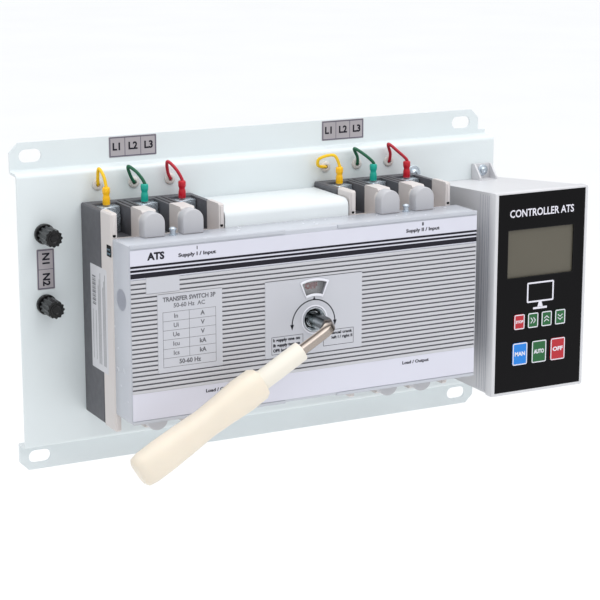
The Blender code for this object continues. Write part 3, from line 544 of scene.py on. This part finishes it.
def smooth_path(points, steps):
    """A Catmull-Rom line through the points."""
    points = [Vector(p) for p in points]
    ends = [2 * points[0] - points[1]] + points + [2 * points[-1] - points[-2]]
    line = []
    for p0, p1, p2, p3 in zip(ends, ends[1:], ends[2:], ends[3:]):
        for i in range(steps):
            t = i / steps
            line.append(0.5 * (2 * p1 + (p2 - p0) * t + (2 * p0 - 5 * p1 + 4 * p2 - p3) * t * t
                               + (3 * p1 - p0 - 3 * p2 + p3) * t ** 3))
    return line + [points[-1]]


def add_leads(look):
    for node, (tone, (hole_x, hole_z), route) in LEADS.items():
        side, _, number = node.partition("_lead_")
        terminal_low, terminal_high = box_mm(f"{side}_terminal_top_{number}")
        boot_x = (terminal_low[0] + terminal_high[0]) / 2
        path = [(hole_x, PLATE_BACK_Y, hole_z), (hole_x, PLATE_BACK_Y - 8, hole_z), *route,
                (boot_x, BOOT_Y, BOOT_TOP + 1), (boot_x, BOOT_Y, BOOT_TOP - 3)]
        line = [p * MM for p in smooth_path(path, CURVE_STEPS)]
        curve = bpy.data.curves.new(f"{node}_wire", "CURVE")
        curve.dimensions = "3D"
        curve.bevel_depth = WIRE_RADIUS * MM
        curve.bevel_resolution = 4
        curve.use_fill_caps = True
        spline = curve.splines.new("POLY")
        spline.points.add(len(line) - 1)
        spline.points.foreach_set("co", [v for p in line for v in (*p, 1)])
        spline.use_smooth = True
        wire = place_object(f"{node}_wire", curve, look[f"wire_{tone}"], "frame")
        profile = [(0, WIRE_RADIUS * MM)] + [
            (d * (BOOT_TOP - BOOT_FOOT) * MM, r * WIRE_RADIUS * MM) for d, r in BOOT_PROFILE] + [
            ((BOOT_TOP - BOOT_FOOT) * MM, 0.0)]
        boot_form = turned(profile, mm(boot_x, BOOT_Y, BOOT_TOP), (0, 0, -1), 24)
        boot = gather(f"{node}_boot", [boot_form], look[f"boot_{tone}"], "frame", 50)
        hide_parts(node)
        gather(f"{node}_bush", [lathe(BUSH, (hole_x, HAT_FRONT, hole_z), steps=28)], look["nylon"],
               "frame", angle=50)


# ---------------------------------------------------------------- plate
SHEET = 2.0
FLANGE_FRONT = -SHEET
HAT_FRONT = box_mm("base_plate")[0][1]
LABEL_THICK = 0.3
PHASE_LABELS = (("left_label", -125.9, -86.8), ("right_label", 57.3, 95.5))
PHASE_LABEL_DROP = (16.5, 0.6)  # from the flange's top to the labels' foot and top
NEUTRAL_LABEL = (-191.4, -177.5, 17.4, 48.3)
PLATE_BOLT = (134.7, 80.4)


def phase_label(look, name, x0, x1, z0, z1, marks, front, upright=False):
    """A self-adhesive marker strip with a cell for each mark."""
    cells = len(marks)
    face = front - LABEL_THICK
    gather(f"{name}_ground", [relief([rect_mm(x0, x1, z0, z1, 0.6)], face * MM, front * MM, 0.00005)],
           look["label_ground"], "frame")
    lines = [relief(ring_band(*mm(x0 + 0.35, x1 - 0.35, z0 + 0.35, z1 - 0.35), 0.0009, 0.0005),
                    (face - INK_LIFT) * MM, face * MM)]
    marks_made = []
    for i in range(cells):
        if upright:
            step = (z1 - z0) / cells
            middle = ((x0 + x1) / 2, z1 - step * (i + 0.5))
            edge = [rect_mm(x0 + 1, x1 - 1, z1 - step * (i + 1) - 0.25, z1 - step * (i + 1) + 0.25)]
        else:
            step = (x1 - x0) / cells
            middle = (x0 + step * (i + 0.5), (z0 + z1) / 2)
            edge = [rect_mm(x0 + step * (i + 1) - 0.25, x0 + step * (i + 1) + 0.25, z0 + 1, z1 - 1)]
        if i + 1 < cells:
            lines.append(relief(edge, (face - INK_LIFT) * MM, face * MM))
        marks_made.append(words(marks[i], *mm(*middle), 0.0078, (face - INK_LIFT) * MM,
                                turn=math.radians(-90) if upright else 0.0, bold=0.035))
    gather(f"{name}_lines", lines, look["label_edge"], "frame")
    gather(f"{name}_marks", marks_made, look["ink_black"], "frame")


def pan_screw(centre, radius, height):
    """A pan head over a washer; centre is on the clamped face."""
    seat, dimple = 0.9, 0.5
    washer = [(0, 0), (0, radius * 1.55), (0.75, radius * 1.6), (0.95, radius * 1.5), (0.95, 0)]
    head = [(seat, 0), (seat, radius * 0.98), (seat + height * 0.55, radius),
            (seat + height * 0.85, radius * 0.82), (seat + height, radius * 0.5),
            (seat + height, radius * 0.42), (seat + height - dimple, radius * 0.3),
            (seat + height - dimple * 1.6, 0)]
    return [lathe(washer, centre), lathe(head, centre)]


def add_plate(look):
    refined("base_plate", look["paint"], 40)
    refined("mechanism_bracket", look["paint_bracket"], 40)
    flange_top = box_mm("base_plate")[1][2]
    foot, top = (flange_top - drop for drop in PHASE_LABEL_DROP)
    for name, x0, x1 in PHASE_LABELS:
        phase_label(look, name, x0, x1, foot, top, ("L1", "L2", "L3"), FLANGE_FRONT)
    phase_label(look, "neutral_label", *NEUTRAL_LABEL, ("N1", "N2"), HAT_FRONT, upright=True)
    bolt_x, bolt_z = PLATE_BOLT
    gather("plate_bolt", pan_screw((bolt_x, HAT_FRONT, bolt_z), 4.0, 3.2), look["zinc"], "frame",
           40)


# ---------------------------------------------------------------- breakers
TERMINAL_Z = 70.5
BAR_DEPTH = 7.0  # from a terminal screw's front to its bar
BOSS_DEPTH = 10.0  # how far a boss stands out of the breaker's front
BOSS_RADIUS = 8.0
BOSS_TOP = 82.0
BOSS_FOOT = 64.4
BOSS_SKIN = 0.35
HALF_PITCH = 15.45
WALL_STRIP = (42.0, 44.4)  # the raised strip on a breaker's outer walls, from its middle
WALL_STRIP_Z = (66.8, 80.6)
BASE_TOP = 81.2
BARRIER_SLOT = (-53.5, -22.0)
SLOT_SHIFTS = (-3.2, 1.6)  # where the two slots between poles start
SLOT_WIDTH = 1.6
SCREW_Y = -83.5
COVER_SCREW = (43, 66)  # from the breaker's middle
SCREW_HOLE = 0.0013
SCREW_RIM = 0.0019
# Profiles: distance in front of the face, and radius
TRIP_SCREW = ((0, 0), (0, 2.9), (0.7, 3.0), (1.0, 2.1), (3.9, 2.1), (4.1, 2.8), (5.0, 2.8), (5.6, 2.0),
              (5.2, 1.1), (4.6, 0))
FLAT_WASHER = ((0, 0), (0, 8.9), (0.2, 9.1), (1.0, 9.1), (1.2, 8.9), (1.2, 0))
SPRING_WASHER = ((1.2, 3.6), (1.2, 6.5), (1.45, 6.7), (2.0, 6.7), (2.3, 6.5), (2.3, 3.6), (1.2, 3.6))
HEX_HEAD = ((2.2, 0), (2.2, 5.4), (2.5, 5.5), (5.8, 5.5), (6.5, 4.9), (6.9, 4.0), (6.9, 3.0), (4.6, 2.7),
            (4.5, 0))


def add_bosses(look, side, middle, front):
    """Rounded skins of the tongues between the poles, dark blocks of painted shade for the slots behind them,
    and a strip on each outer wall.
    """
    skins, strips, slots = [], [], []
    radius = BOSS_RADIUS + BOSS_SKIN
    for x in (middle - HALF_PITCH, middle + HALF_PITCH):
        for end in (1, -1):
            outline = [(x + radius * math.cos(math.pi * i / 16),
                        end * (BOSS_TOP - BOSS_RADIUS + radius * math.sin(math.pi * i / 16)))
                       for i in range(17)]
            outline += [(x - radius, end * BOSS_FOOT), (x + radius, end * BOSS_FOOT)]
            skins.append(relief([outline_mm(outline)], (front - BOSS_SKIN) * MM,
                                (front + BOSS_DEPTH) * MM, 0.0008))
            top = sorted((end * (BASE_TOP - 0.3), end * (BASE_TOP + 0.04)))
            for shift in SLOT_SHIFTS:
                slots.append(block(mm(x + shift, BARRIER_SLOT[0], top[0]),
                                   mm(x + shift + SLOT_WIDTH, BARRIER_SLOT[1], top[1])))
    for way in (-1, 1):
        for end in (1, -1):
            x = sorted(middle + way * edge for edge in WALL_STRIP)
            z = sorted(end * edge for edge in WALL_STRIP_Z)
            strips.append(block(mm(x[0], front + BOSS_DEPTH - 0.8, z[0]),
                                mm(x[1], front + BOSS_DEPTH + 1, z[1]), 0.0004))
    gather(f"{side}_boss_skins", skins, look["boss_plastic"], "frame", 50)
    gather(f"{side}_wall_strips", strips, look["body_plastic"], "frame", 50)
    gather(f"{side}_barrier_slot_shades", slots, look["painted_recess_shade"], "frame")
    cover_top = box_mm("front_cover")[1][2]
    gather(f"{side}_trip_screw", [lathe(TRIP_SCREW, (middle, SCREW_Y, cover_top), (0, 0, 1))],
           look["zinc"], "frame", 40)


def add_breaker(look, side):
    low, high = box_mm(f"{side}_breaker_cover")
    middle = (low[0] + high[0]) / 2
    refined(f"{side}_breaker_base", look["base_plastic"], 30)
    refined(f"{side}_breaker_cover", look["body_plastic"], 30)
    paint(f"{side}_toggle", look["black_plastic"])
    add_bosses(look, side, middle, low[1])
    face = low[1] + BOSS_DEPTH
    hole_shades, rims = [], []
    screw_x, screw_z = COVER_SCREW
    for x in (middle - screw_x, middle + screw_x):
        for z in (screw_z, -screw_z):
            # painted shade: dark discs in the cover's screw holes stand for the shade inside them
            hole = disc(*mm(x, z), SCREW_HOLE, 24)
            hole_shades.append(relief([hole], (face - 0.05) * MM, (face + 0.3) * MM))
            rims.append(relief([disc(*mm(x, z), SCREW_RIM, 24), hole], (face - 0.16) * MM, face * MM,
                               0.00005))
    gather(f"{side}_cover_screw_hole_shades", hole_shades, look["painted_recess_shade"], "frame")
    gather(f"{side}_cover_screw_rims", rims, look["body_plastic"], "frame")
    for end in ("top", "bottom"):
        sign = 1 if end == "top" else -1
        for number in (1, 2, 3):
            node = f"{side}_terminal_{end}_{number}"
            t_low, t_high = box_mm(node)
            x = (t_low[0] + t_high[0]) / 2
            bar_front = t_low[1] + BAR_DEPTH
            bar = block(mm(t_low[0], bar_front, t_low[2]), mm(t_high[0], t_high[1], t_high[2]), 0.0004)
            z = TERMINAL_Z * sign
            forms = [lathe(profile, (x, bar_front, z), steps=steps)
                     for profile, steps in ((FLAT_WASHER, 40), (SPRING_WASHER, 36), (HEX_HEAD, 6))]
            piece = gather(f"{node}_hardware", [bar] + forms, look["zinc"], "frame", 35)
            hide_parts(node)


def onto_left_side(x):
    """Turns a flat form onto a face that looks along -X at this x, in mm. Its own x becomes -y."""
    return Matrix.Translation((x * MM, 0, 0)) @ Matrix.Rotation(-math.pi / 2, 4, "Z")


def add_breaker_side(look):
    """The rating sticker, and the contact slot drawn as a dark sheet of painted shade with its clips, on the
    outer side of the left breaker.
    """
    turn = onto_left_side(box_mm("left_breaker_cover")[0][0])

    def side_relief(outlines, proud):
        return relief(outlines, -proud * MM, 0.0, 0.0, turn)

    def rect_side(y0, y1, z0, z1, radius=0.0):
        return rectangle(*mm(-y1, -y0, z0, z1, radius))

    sticker = (-65.5, -33.5, -41.0, 38.5)
    gather("breaker_sticker", [side_relief([rect_side(*sticker, 0.8)], 0.12)], look["paper"], "frame")
    bars = [side_relief([rect_side(y - 0.35, y + 0.35, -36, 34 - 5 * (i % 3))], 0.16)
            for i, y in enumerate((-61.5, -59.5, -57.5, -52.5, -50.5, -48.5))]
    bars += [side_relief([rect_side(-43.5, -37.0, z, z + w)], 0.16)
             for z, w in ((8 + 1.5 * i, (0.9, 0.5, 1.1, 0.6)[i % 4]) for i in range(15))]
    bars += [side_relief([rect_side(y, y + 0.5, -34, 4)], 0.16) for y in (-43.5, -37.5)]
    gather("breaker_sticker_print", bars, look["ink_grey"], "frame")
    # painted shade: a dark sheet on the side stands for the shade inside the contact slot
    slot = [side_relief([rect_side(-75.4, -67.0, 50.0, 58.5, 0.6)], 0.1)]
    gather("breaker_slot", slot, look["painted_recess_shade"], "frame")
    clips = [side_relief([rect_side(-74.6, -68.2, z, z + 1.5, 0.3)], 0.5) for z in (51.5, 54.6)]
    gather("breaker_slot_clips", clips, look["clip_metal"], "frame")


# ---------------------------------------------------------------- drive cover
RELIEF = 0.8
RIB_PITCH = 3.42
RIB_WIDTH = 2.35
RIB_COUNT = 25
RIB_TOP = 38.6
# Areas without ribs: the mark's pad, the rating plate and the dial, each as x0, x1, z0, z1
RIB_GAPS = ((-142.2, -116.0, 27.8, 39.9), (-133.7, -82.1, -32.2, 26.7), (-46.9, 35.5, -32.2, 26.9))
STRIPES = ((48.4, 1.6), (45.5, 1.7), (41.8, 3.6))  # middle in z, and width
LIP_SPANS = (-30.0, 14.4)  # the lips leave the middle of the cover free
DIAL_RING = 0.0099  # inner radius of the ring round the shaft


def add_cover(look):
    low, high = box_mm("front_cover")
    left, right, front = low[0] + 0.9, high[0] - 0.9, low[1]
    refined("front_cover", look["cover_plastic"], 30)
    face = front - RELIEF
    shaft_low, shaft_high = box_mm("drive_shaft")
    shaft_x, shaft_z = (shaft_low[0] + shaft_high[0]) / 2, (shaft_low[2] + shaft_high[2]) / 2

    def raised(outlines, height=RELIEF, base=0.0, bevel=0.0):
        return relief(outlines, (front - base - height) * MM, (front - base) * MM, bevel)

    ribs = []
    for i in range(RIB_COUNT):
        z = RIB_TOP - RIB_PITCH * (i + 0.5) + 0.6
        spans = [(left, right)]
        for x0, x1, z0, z1 in RIB_GAPS:
            if z0 < z < z1:
                spans = [s for a, b in spans for s in ((a, min(b, x0)), (max(a, x1), b)) if s[1] - s[0] > 0.5]
        ribs += [rect_mm(a, b, z - RIB_WIDTH / 2, z + RIB_WIDTH / 2) for a, b in spans]
    window = fan(shaft_x * MM, shaft_z * MM, 0.0185, 0.031, 22)
    holes = [window, disc(shaft_x * MM, shaft_z * MM, DIAL_RING)]
    # painted shade: a dark sheet under the ribs darkens the gaps between them, where their shadow falls
    strip = rect_mm(left + 0.3, right - 0.3, RIB_TOP - RIB_PITCH * RIB_COUNT + 1.0, RIB_TOP)
    gather("cover_groove_shade", [raised([strip, *holes], 0.04)], look["groove_shade"], "frame")
    gather("cover_ribs", [raised(ribs, bevel=0.00034)], look["rib_plastic"], "frame", 60)
    mark_pad, rating_pad, dial_pad = (rect_mm(*gap) for gap in RIB_GAPS)
    pads = [raised([mark_pad]), raised([rating_pad]), raised([dial_pad, *holes])]
    gather("cover_pads", pads, look["plate_film"], "frame")
    films = [raised([rect_mm(left, right, RIB_TOP + 0.7, 60.6, 0.5)], RELIEF * 0.6),
             raised([rect_mm(left, right, -66.0, -44.6, 0.5)], RELIEF * 0.6)]
    gather("cover_films", films, look["film"], "frame")
    stripes = [raised([rect_mm(left, right, z - w / 2, z + w / 2)], 0.08, RELIEF * 0.6) for z, w in STRIPES]
    gather("cover_stripes", stripes, look["ink_black"], "frame")
    lips = []
    for x0, x1 in ((left, LIP_SPANS[0]), (LIP_SPANS[1], right)):
        for z0, z1 in ((61.8, high[2] + 0.4), (low[2] - 0.4, -66.6)):
            lips.append(block(mm(x0, front - 0.9, z0), mm(x1, front + 1.5, z1), 0.0005))
    gather("cover_lips", lips, look["cover_plastic"], "frame", 50)
    text_face = (front - RELIEF * 0.6) * MM
    printed = [words("ATS", -134.0 * MM, 55.0 * MM, 0.0072, text_face, wide=0.0135, bold=0.05)]
    for x, number in ((-101.6, "I"), (89.0, "II")):
        printed += [words(number, x * MM, 58.2 * MM, 0.0031, text_face, bold=0.06),
                    words(f"Supply {number} / Input", x * MM, 53.9 * MM, 0.0036, text_face, wide=0.030,
                          bold=0.04)]
    for x in (-84.0, 84.0):
        printed.append(words("Load / Output", x * MM, -50.4 * MM, 0.0034, text_face, wide=0.024, bold=0.04))
    gather("cover_words", printed, look["ink_black"], "frame")
    add_rating_plate(look, face)
    add_dial(look, face, shaft_x, shaft_z)
    oval = [(0.0088 * math.cos(t * math.pi / 12) + 92.0 * MM,
             0.0080 * math.sin(t * math.pi / 12) + 22.0 * MM) for t in range(24)]
    oval_form = relief([oval], -0.00004, 0.0001, 0.0, onto_left_side(low[0]))
    gather("cover_moulding_mark", [oval_form], look["oval_tone"], "frame")


def add_rating_plate(look, face):
    x0, x1, z0, z1 = -129.7, -87.3, -28.5, 13.0
    divide, rows = -108.7, 6
    step = (z1 - z0) / rows
    width = 0.26
    depths = ((face - FINE_INK_LIFT) * MM, face * MM)
    lines = [relief(ring_band(*mm(x0, x1, z0, z1), width * MM), *depths),
             relief([rect_mm(divide - width / 2, divide + width / 2, z0 + step, z1)], *depths)]
    for i in range(1, rows):
        z = z0 + step * i
        lines.append(relief([rect_mm(x0, x1, z - width / 2, z + width / 2)], *depths))
    gather("rating_lines", lines, look["ink_grey"], "frame")
    middle = (x0 + x1) / 2 * MM
    text = [words("TRANSFER SWITCH 3P", middle, 22.2 * MM, 0.0046, face * MM, wide=0.042, bold=0.035),
            words("50-60 Hz  AC", middle, 17.3 * MM, 0.0044, face * MM, wide=0.025)]
    for i, (name, unit) in enumerate((("In", "A"), ("Ui", "V"), ("Ue", "V"), ("Icu", "kA"), ("Ics", "kA"))):
        z = (z1 - step * (i + 0.5)) * MM
        text += [words(name, (x0 + divide) / 2 * MM, z, 0.0046, face * MM),
                 words(unit, (divide + x1) / 2 * MM, z, 0.0046, face * MM, bold=0.035)]
    text.append(words("50-60 Hz", middle, (z0 + step * 0.5) * MM, 0.0046, face * MM, bold=0.035))
    gather("rating_text", text, look["ink_grey"], "frame")


def add_dial(look, face, x, z):
    centre = mm(x, z)
    rim = [fan(*centre, 0.0180, 0.0316, 23.0), fan(*centre, 0.0200, 0.0298, 20.4)]
    gather("window_rim", [relief(rim, (face - 0.9) * MM, face * MM, 0.0004)], look["rim_white"], "frame",
           60)
    ring = [disc(*centre, 0.0111), disc(*centre, DIAL_RING)]
    gather("shaft_ring", [relief(ring, (face - 0.7) * MM, face * MM, 0.0003)], look["rim_white"], "frame",
           60)
    depths = ((face - FINE_INK_LIFT) * MM, face * MM)
    arc_x, arc_z, radius = -6.2, -9.1, 18.2
    ink = [relief([arc_band(*mm(arc_x, arc_z, radius), 0.0009, 0, 180)], *depths)]
    tip_z = -12.8
    ink += [relief([outline_mm(((u, tip_z), (u - 1.6, tip_z + 4.4), (u + 1.6, tip_z + 4.4)))], *depths)
            for u in (arc_x - radius, arc_x + radius)]
    ink.append(relief([outline_mm(((x, 11.8), (x - 1.2, 9.1), (x + 1.2, 9.1)))], *depths))
    boxes = ((-41.7, -15.1, -29.9, -16.2), (2.1, 28.3, -28.2, -15.9))
    for x0, x1, z0, z1 in boxes:
        ink.append(relief(ring_band(*mm(x0, x1, z0, z1), 0.00032), *depths))
    for i, (row, wide) in enumerate((("I: supply one on", 22.6), ("II: supply two on", 22.6),
                                     ("OFF: both open", 19.0))):
        ink.append(words(row, -40.4 * MM, (-18.9 - 4.0 * i) * MM, 0.0031, face * MM, align="LEFT",
                         wide=wide * MM, bold=0.06))
    for i, (row, wide) in enumerate((("Manual crank", 20.0), ("left I / right II", 18.0))):
        ink.append(words(row, (27.2 - wide) * MM, (-18.6 - 3.6 * i) * MM, 0.0030, face * MM, align="LEFT",
                         wide=wide * MM, bold=0.045))
    gather("dial_print", ink, look["ink_black"], "frame")
    refined("shaft_bush", look["chrome"], 40)
    refined("drive_shaft", look["chrome"], 40)
    paint("indicator_window", look["pane"])
    refined("indicator_disc", look["disc_plastic"], 40)
    disc_front = box_mm("indicator_disc")[0][1]
    for name, text, angle, tone in (("off", "OFF", 0, "ink_red"), ("one", "I", -45, "ink_black"),
                                    ("two", "II", 45, "ink_black")):
        mark = words(text, 0.0, 0.0246, 0.0056, 0.0, bold=0.11)
        mark.transform(Matrix.Rotation(math.radians(-angle), 4, "Y"))
        mark.transform(Matrix.Translation(mm(x, disc_front - 0.03, z)))
        gather(f"indicator_mark_{name}", [mark], look[tone], "drive")


# ---------------------------------------------------------------- crank
def add_crank(look):
    refined("crank_bar", look["bar_steel_painted_reflections"], 25)
    refined("grip_sleeve", look["ivory_sleeve"], 40)
    refined("grip", look["ivory"], 50)


# ---------------------------------------------------------------- drive inside
def add_inside(look):
    for node in ("drive_gear", "motor_pinion", "left_slide", "right_slide", "drive_motor"):
        refined(node, look["steel"], 30)
    paint("circuit_board", look["board"])


# ---------------------------------------------------------------- back of the plate
NUT = ((0, 0), (0, 3.9), (0.3, 4.2), (2.6, 4.2), (2.9, 3.9), (2.9, 1.6), (3.9, 1.5), (4.1, 1.1), (4.1, 0))
COLLAR = ((0, 1.7), (0, 4.6), (0.7, 4.6), (1.2, 3.9), (1.2, 1.7), (0, 1.7))
BREAKER_NUT_Z = 62.0
BRACKET_NUT_Z = 68.0
BRACKET_NUT_INSET = 12


def add_back(look):
    """The nuts behind the plate that hold the breakers and the bracket, and the rear of each lead's bush."""
    back = HAT_FRONT + SHEET
    places = []
    for side in ("left", "right"):
        low, high = box_mm(f"{side}_breaker_base")
        middle = (low[0] + high[0]) / 2
        places += [(middle + way * HALF_PITCH, z) for way in (-1, 1)
                   for z in (-BREAKER_NUT_Z, BREAKER_NUT_Z)]
    low, high = box_mm("mechanism_bracket")
    places += [(x, z) for x in (low[0] + BRACKET_NUT_INSET, high[0] - BRACKET_NUT_INSET)
               for z in (-BRACKET_NUT_Z, BRACKET_NUT_Z)]
    nuts = [lathe(NUT, (x, back, z), (0, 1, 0), 6) for x, z in places]
    gather("rear_nuts", nuts, look["zinc"], "frame", 30)
    for node, (_, (hole_x, hole_z), _) in LEADS.items():
        gather(f"{node}_rear_bush", [lathe(COLLAR, (hole_x, back, hole_z), (0, 1, 0), 28)], look["nylon"],
               "frame", angle=50)


# ---------------------------------------------------------------- neutral posts
KNOB_CAP = ((-0.2, 0), (-0.2, 4.6), (0.45, 4.4), (0.75, 3.6), (0.5, 2.9), (0.1, 2.6), (0.1, 0))


def add_post(look, level):
    low, high = box_mm(f"{level}_post_knob")
    x, z = (low[0] + high[0]) / 2, (low[2] + high[2]) / 2
    refined(f"{level}_post_knob", look["black_plastic"], 50)
    refined(f"{level}_post_seat", look["black_plastic"], 40)
    refined(f"{level}_post_stud", look["zinc"], 40)
    refined(f"{level}_post_washer", look["zinc"], 40)
    gather(f"{level}_post_knob_cap", [lathe(KNOB_CAP, (x, low[1], z))], look["black_plastic"],
           f"{level}_knob", 50)


# ---------------------------------------------------------------- controller
KEY_WORDS = {"key_stop": "STOP", "key_manual": "MAN", "key_auto": "AUTO", "key_off": "OFF"}
CHEVRONS = {"key_next": 0.0, "key_up": 90.0, "key_down": -90.0}
SEAMS = ((-98.8, 0.5), (-96.4, 0.35), (-93.6, 0.35), (-90.2, 0.5), (-86.0, 0.35))  # first y, and width
EAR_SCREW = (199.5, -19.6, 78.6)


def add_controller(look):
    refined("controller_case", look["case_plastic"], 30)
    refined("controller_bezel", look["case_plastic"], 30)
    refined("keypad_panel", look["panel_black"], 30)
    paint("display", look["lcd"])
    face = box_mm("keypad_panel")[0][1]
    depths = ((face - INK_LIFT) * MM, face * MM)
    text = [words("CONTROLLER ATS", 198.0 * MM, 58.8 * MM, 0.0084, face * MM, wide=0.061, bold=0.018)]
    stand = ((197.2, -14.6), (199.8, -14.6), (201.2, -18.9), (195.8, -18.9))
    icon = [relief(ring_band(*mm(185.6, 211.3, -14.6, 2.0), 0.0013, 0.0012), *depths),
            relief([outline_mm(stand)], *depths),
            relief([rect_mm(191.8, 205.2, -20.4, -18.7, 0.3)], *depths)]
    gather("panel_print", text + icon, look["ink_white"], "frame")
    # painted shade: a dark ring round the display stands for the shade on the window's inner edge
    window = ring_band(*mm(166.0, 229.6, 6.6, 46.3), 0.0005, 0.0008)
    gather("display_edge_shade", [relief(window, (face - 0.02) * MM, (face + 0.6) * MM)], look["painted_recess_shade"],
           "frame")
    for key, tone in (("stop", "red"), ("next", "green"), ("up", "green"), ("down", "green"),
                      ("manual", "blue"), ("auto", "green"), ("off", "red")):
        add_key(look, f"key_{key}", f"button_{key}", look[f"key_{tone}"])
    side, _, foot = box_mm("controller_case")[0]
    seams = [block(mm(side - 0.06, y, foot + 1.5), mm(side + 0.3, y + w, 73.0)) for y, w in SEAMS]
    gather("case_seams", seams, look["oval_tone"], "frame")
    gather("ear_screw", pan_screw(EAR_SCREW, 2.9, 2.4), look["zinc"], "frame", 40)


def add_key(look, node, body, tone):
    low, high = box_mm(node)
    refined(node, tone, 40)
    face = low[1]
    small = high[0] - low[0] < 12
    edge = ring_band(*mm(low[0] + 0.15, high[0] - 0.15, low[2] + 0.15, high[2] - 0.15), 0.0008, 0.0012)
    marks = [relief(edge, (face - 0.08) * MM, face * MM)]
    x, z = (low[0] + high[0]) / 2, (low[2] + high[2]) / 2
    if node in KEY_WORDS:
        marks.append(words(KEY_WORDS[node], x * MM, z * MM, 0.0030 if small else 0.0046, face * MM,
                           wide=(0.0072 if small else 0.0098), bold=0.04))
    else:
        turn = math.radians(CHEVRONS[node])
        for shift in (-1.3, 1.3):
            points = [(shift - 0.9, 2.3), (shift + 0.9, 0.0), (shift - 0.9, -2.3)]
            turned_points = [(x + u * math.cos(turn) - v * math.sin(turn),
                              z + u * math.sin(turn) + v * math.cos(turn)) for u, v in points]
            marks.append(relief([[tuple(p) for p in stroke([mm(*q) for q in turned_points], 0.0006)]],
                                (face - INK_LIFT) * MM, face * MM))
    gather(f"{node}_marks", marks, look["ink_white"], body)


# ---------------------------------------------------------------- floor and light
HORIZON_LIGHT = 0.5
ZENITH_LIGHT = 1.5
FLOOR_CLEARANCE = 350.0  # the unit hangs on a wall, well above the floor
FLOOR_HALF = 12.0
LIGHTS = (("key", (0.5, -1.9, 1.5), 1.3, 9), ("top", (0.1, -0.4, 1.7), 1.6, 8))  # name, place, size, power


def add_sky():
    """A soft white studio that is brighter overhead than at the horizon."""
    world = bpy.data.worlds.new("studio")
    bpy.context.scene.world = world
    world.use_nodes = True
    nodes, links = world.node_tree.nodes, world.node_tree.links
    background = nodes["Background"]
    background.inputs["Color"].default_value = (0.97, 0.985, 1.0, 1)
    way = nodes.new("ShaderNodeTexCoord")
    height = nodes.new("ShaderNodeSeparateXYZ")
    links.new(way.outputs["Generated"], height.inputs["Vector"])
    power = nodes.new("ShaderNodeMapRange")
    power.inputs["To Min"].default_value = HORIZON_LIGHT
    power.inputs["To Max"].default_value = ZENITH_LIGHT
    links.new(height.outputs["Z"], power.inputs["Value"])
    links.new(power.outputs["Result"], background.inputs["Strength"])


def add_stage():
    floor_tone = Look("floor", colour(240, 240, 240), 0.65, tone_spread=0.01, grain=60, bump=0.02, patch=2)
    grip_low, shaft_low, shaft_high = box_mm("grip")[0], *box_mm("drive_shaft")
    shaft_x, shaft_z = (shaft_low[0] + shaft_high[0]) / 2, (shaft_low[2] + shaft_high[2]) / 2
    reach = math.hypot(shaft_x - grip_low[0], shaft_z - grip_low[2])
    form = bmesh.new()
    bmesh.ops.create_grid(form, x_segments=4, y_segments=4, size=FLOOR_HALF)
    data = bpy.data.meshes.new("floor")
    form.to_mesh(data)
    form.free()
    floor = bpy.data.objects.new("floor", data)
    floor.location = (0, 0, (shaft_z - reach - FLOOR_CLEARANCE) * MM)
    data.materials.append(floor_tone.material)
    bpy.context.scene.collection.objects.link(floor)
    add_sky()
    for name, place, size, power in LIGHTS:
        data = bpy.data.lights.new(name, "AREA")
        data.shape = "SQUARE"
        data.size = size
        data.energy = power
        light = bpy.data.objects.new(name, data)
        light.location = place
        light.rotation_euler = (-Vector(place)).to_track_quat("-Z", "Y").to_euler()
        bpy.context.scene.collection.objects.link(light)
    bpy.context.scene.view_settings.view_transform = "Standard"


add_camera()
looks = make_looks()
add_leads(looks)
add_plate(looks)
for side_name in ("left", "right"):
    add_breaker(looks, side_name)
add_breaker_side(looks)
add_cover(looks)
add_crank(looks)
add_inside(looks)
add_back(looks)
for level_name in ("upper", "lower"):
    add_post(looks, level_name)
add_controller(looks)
add_stage()
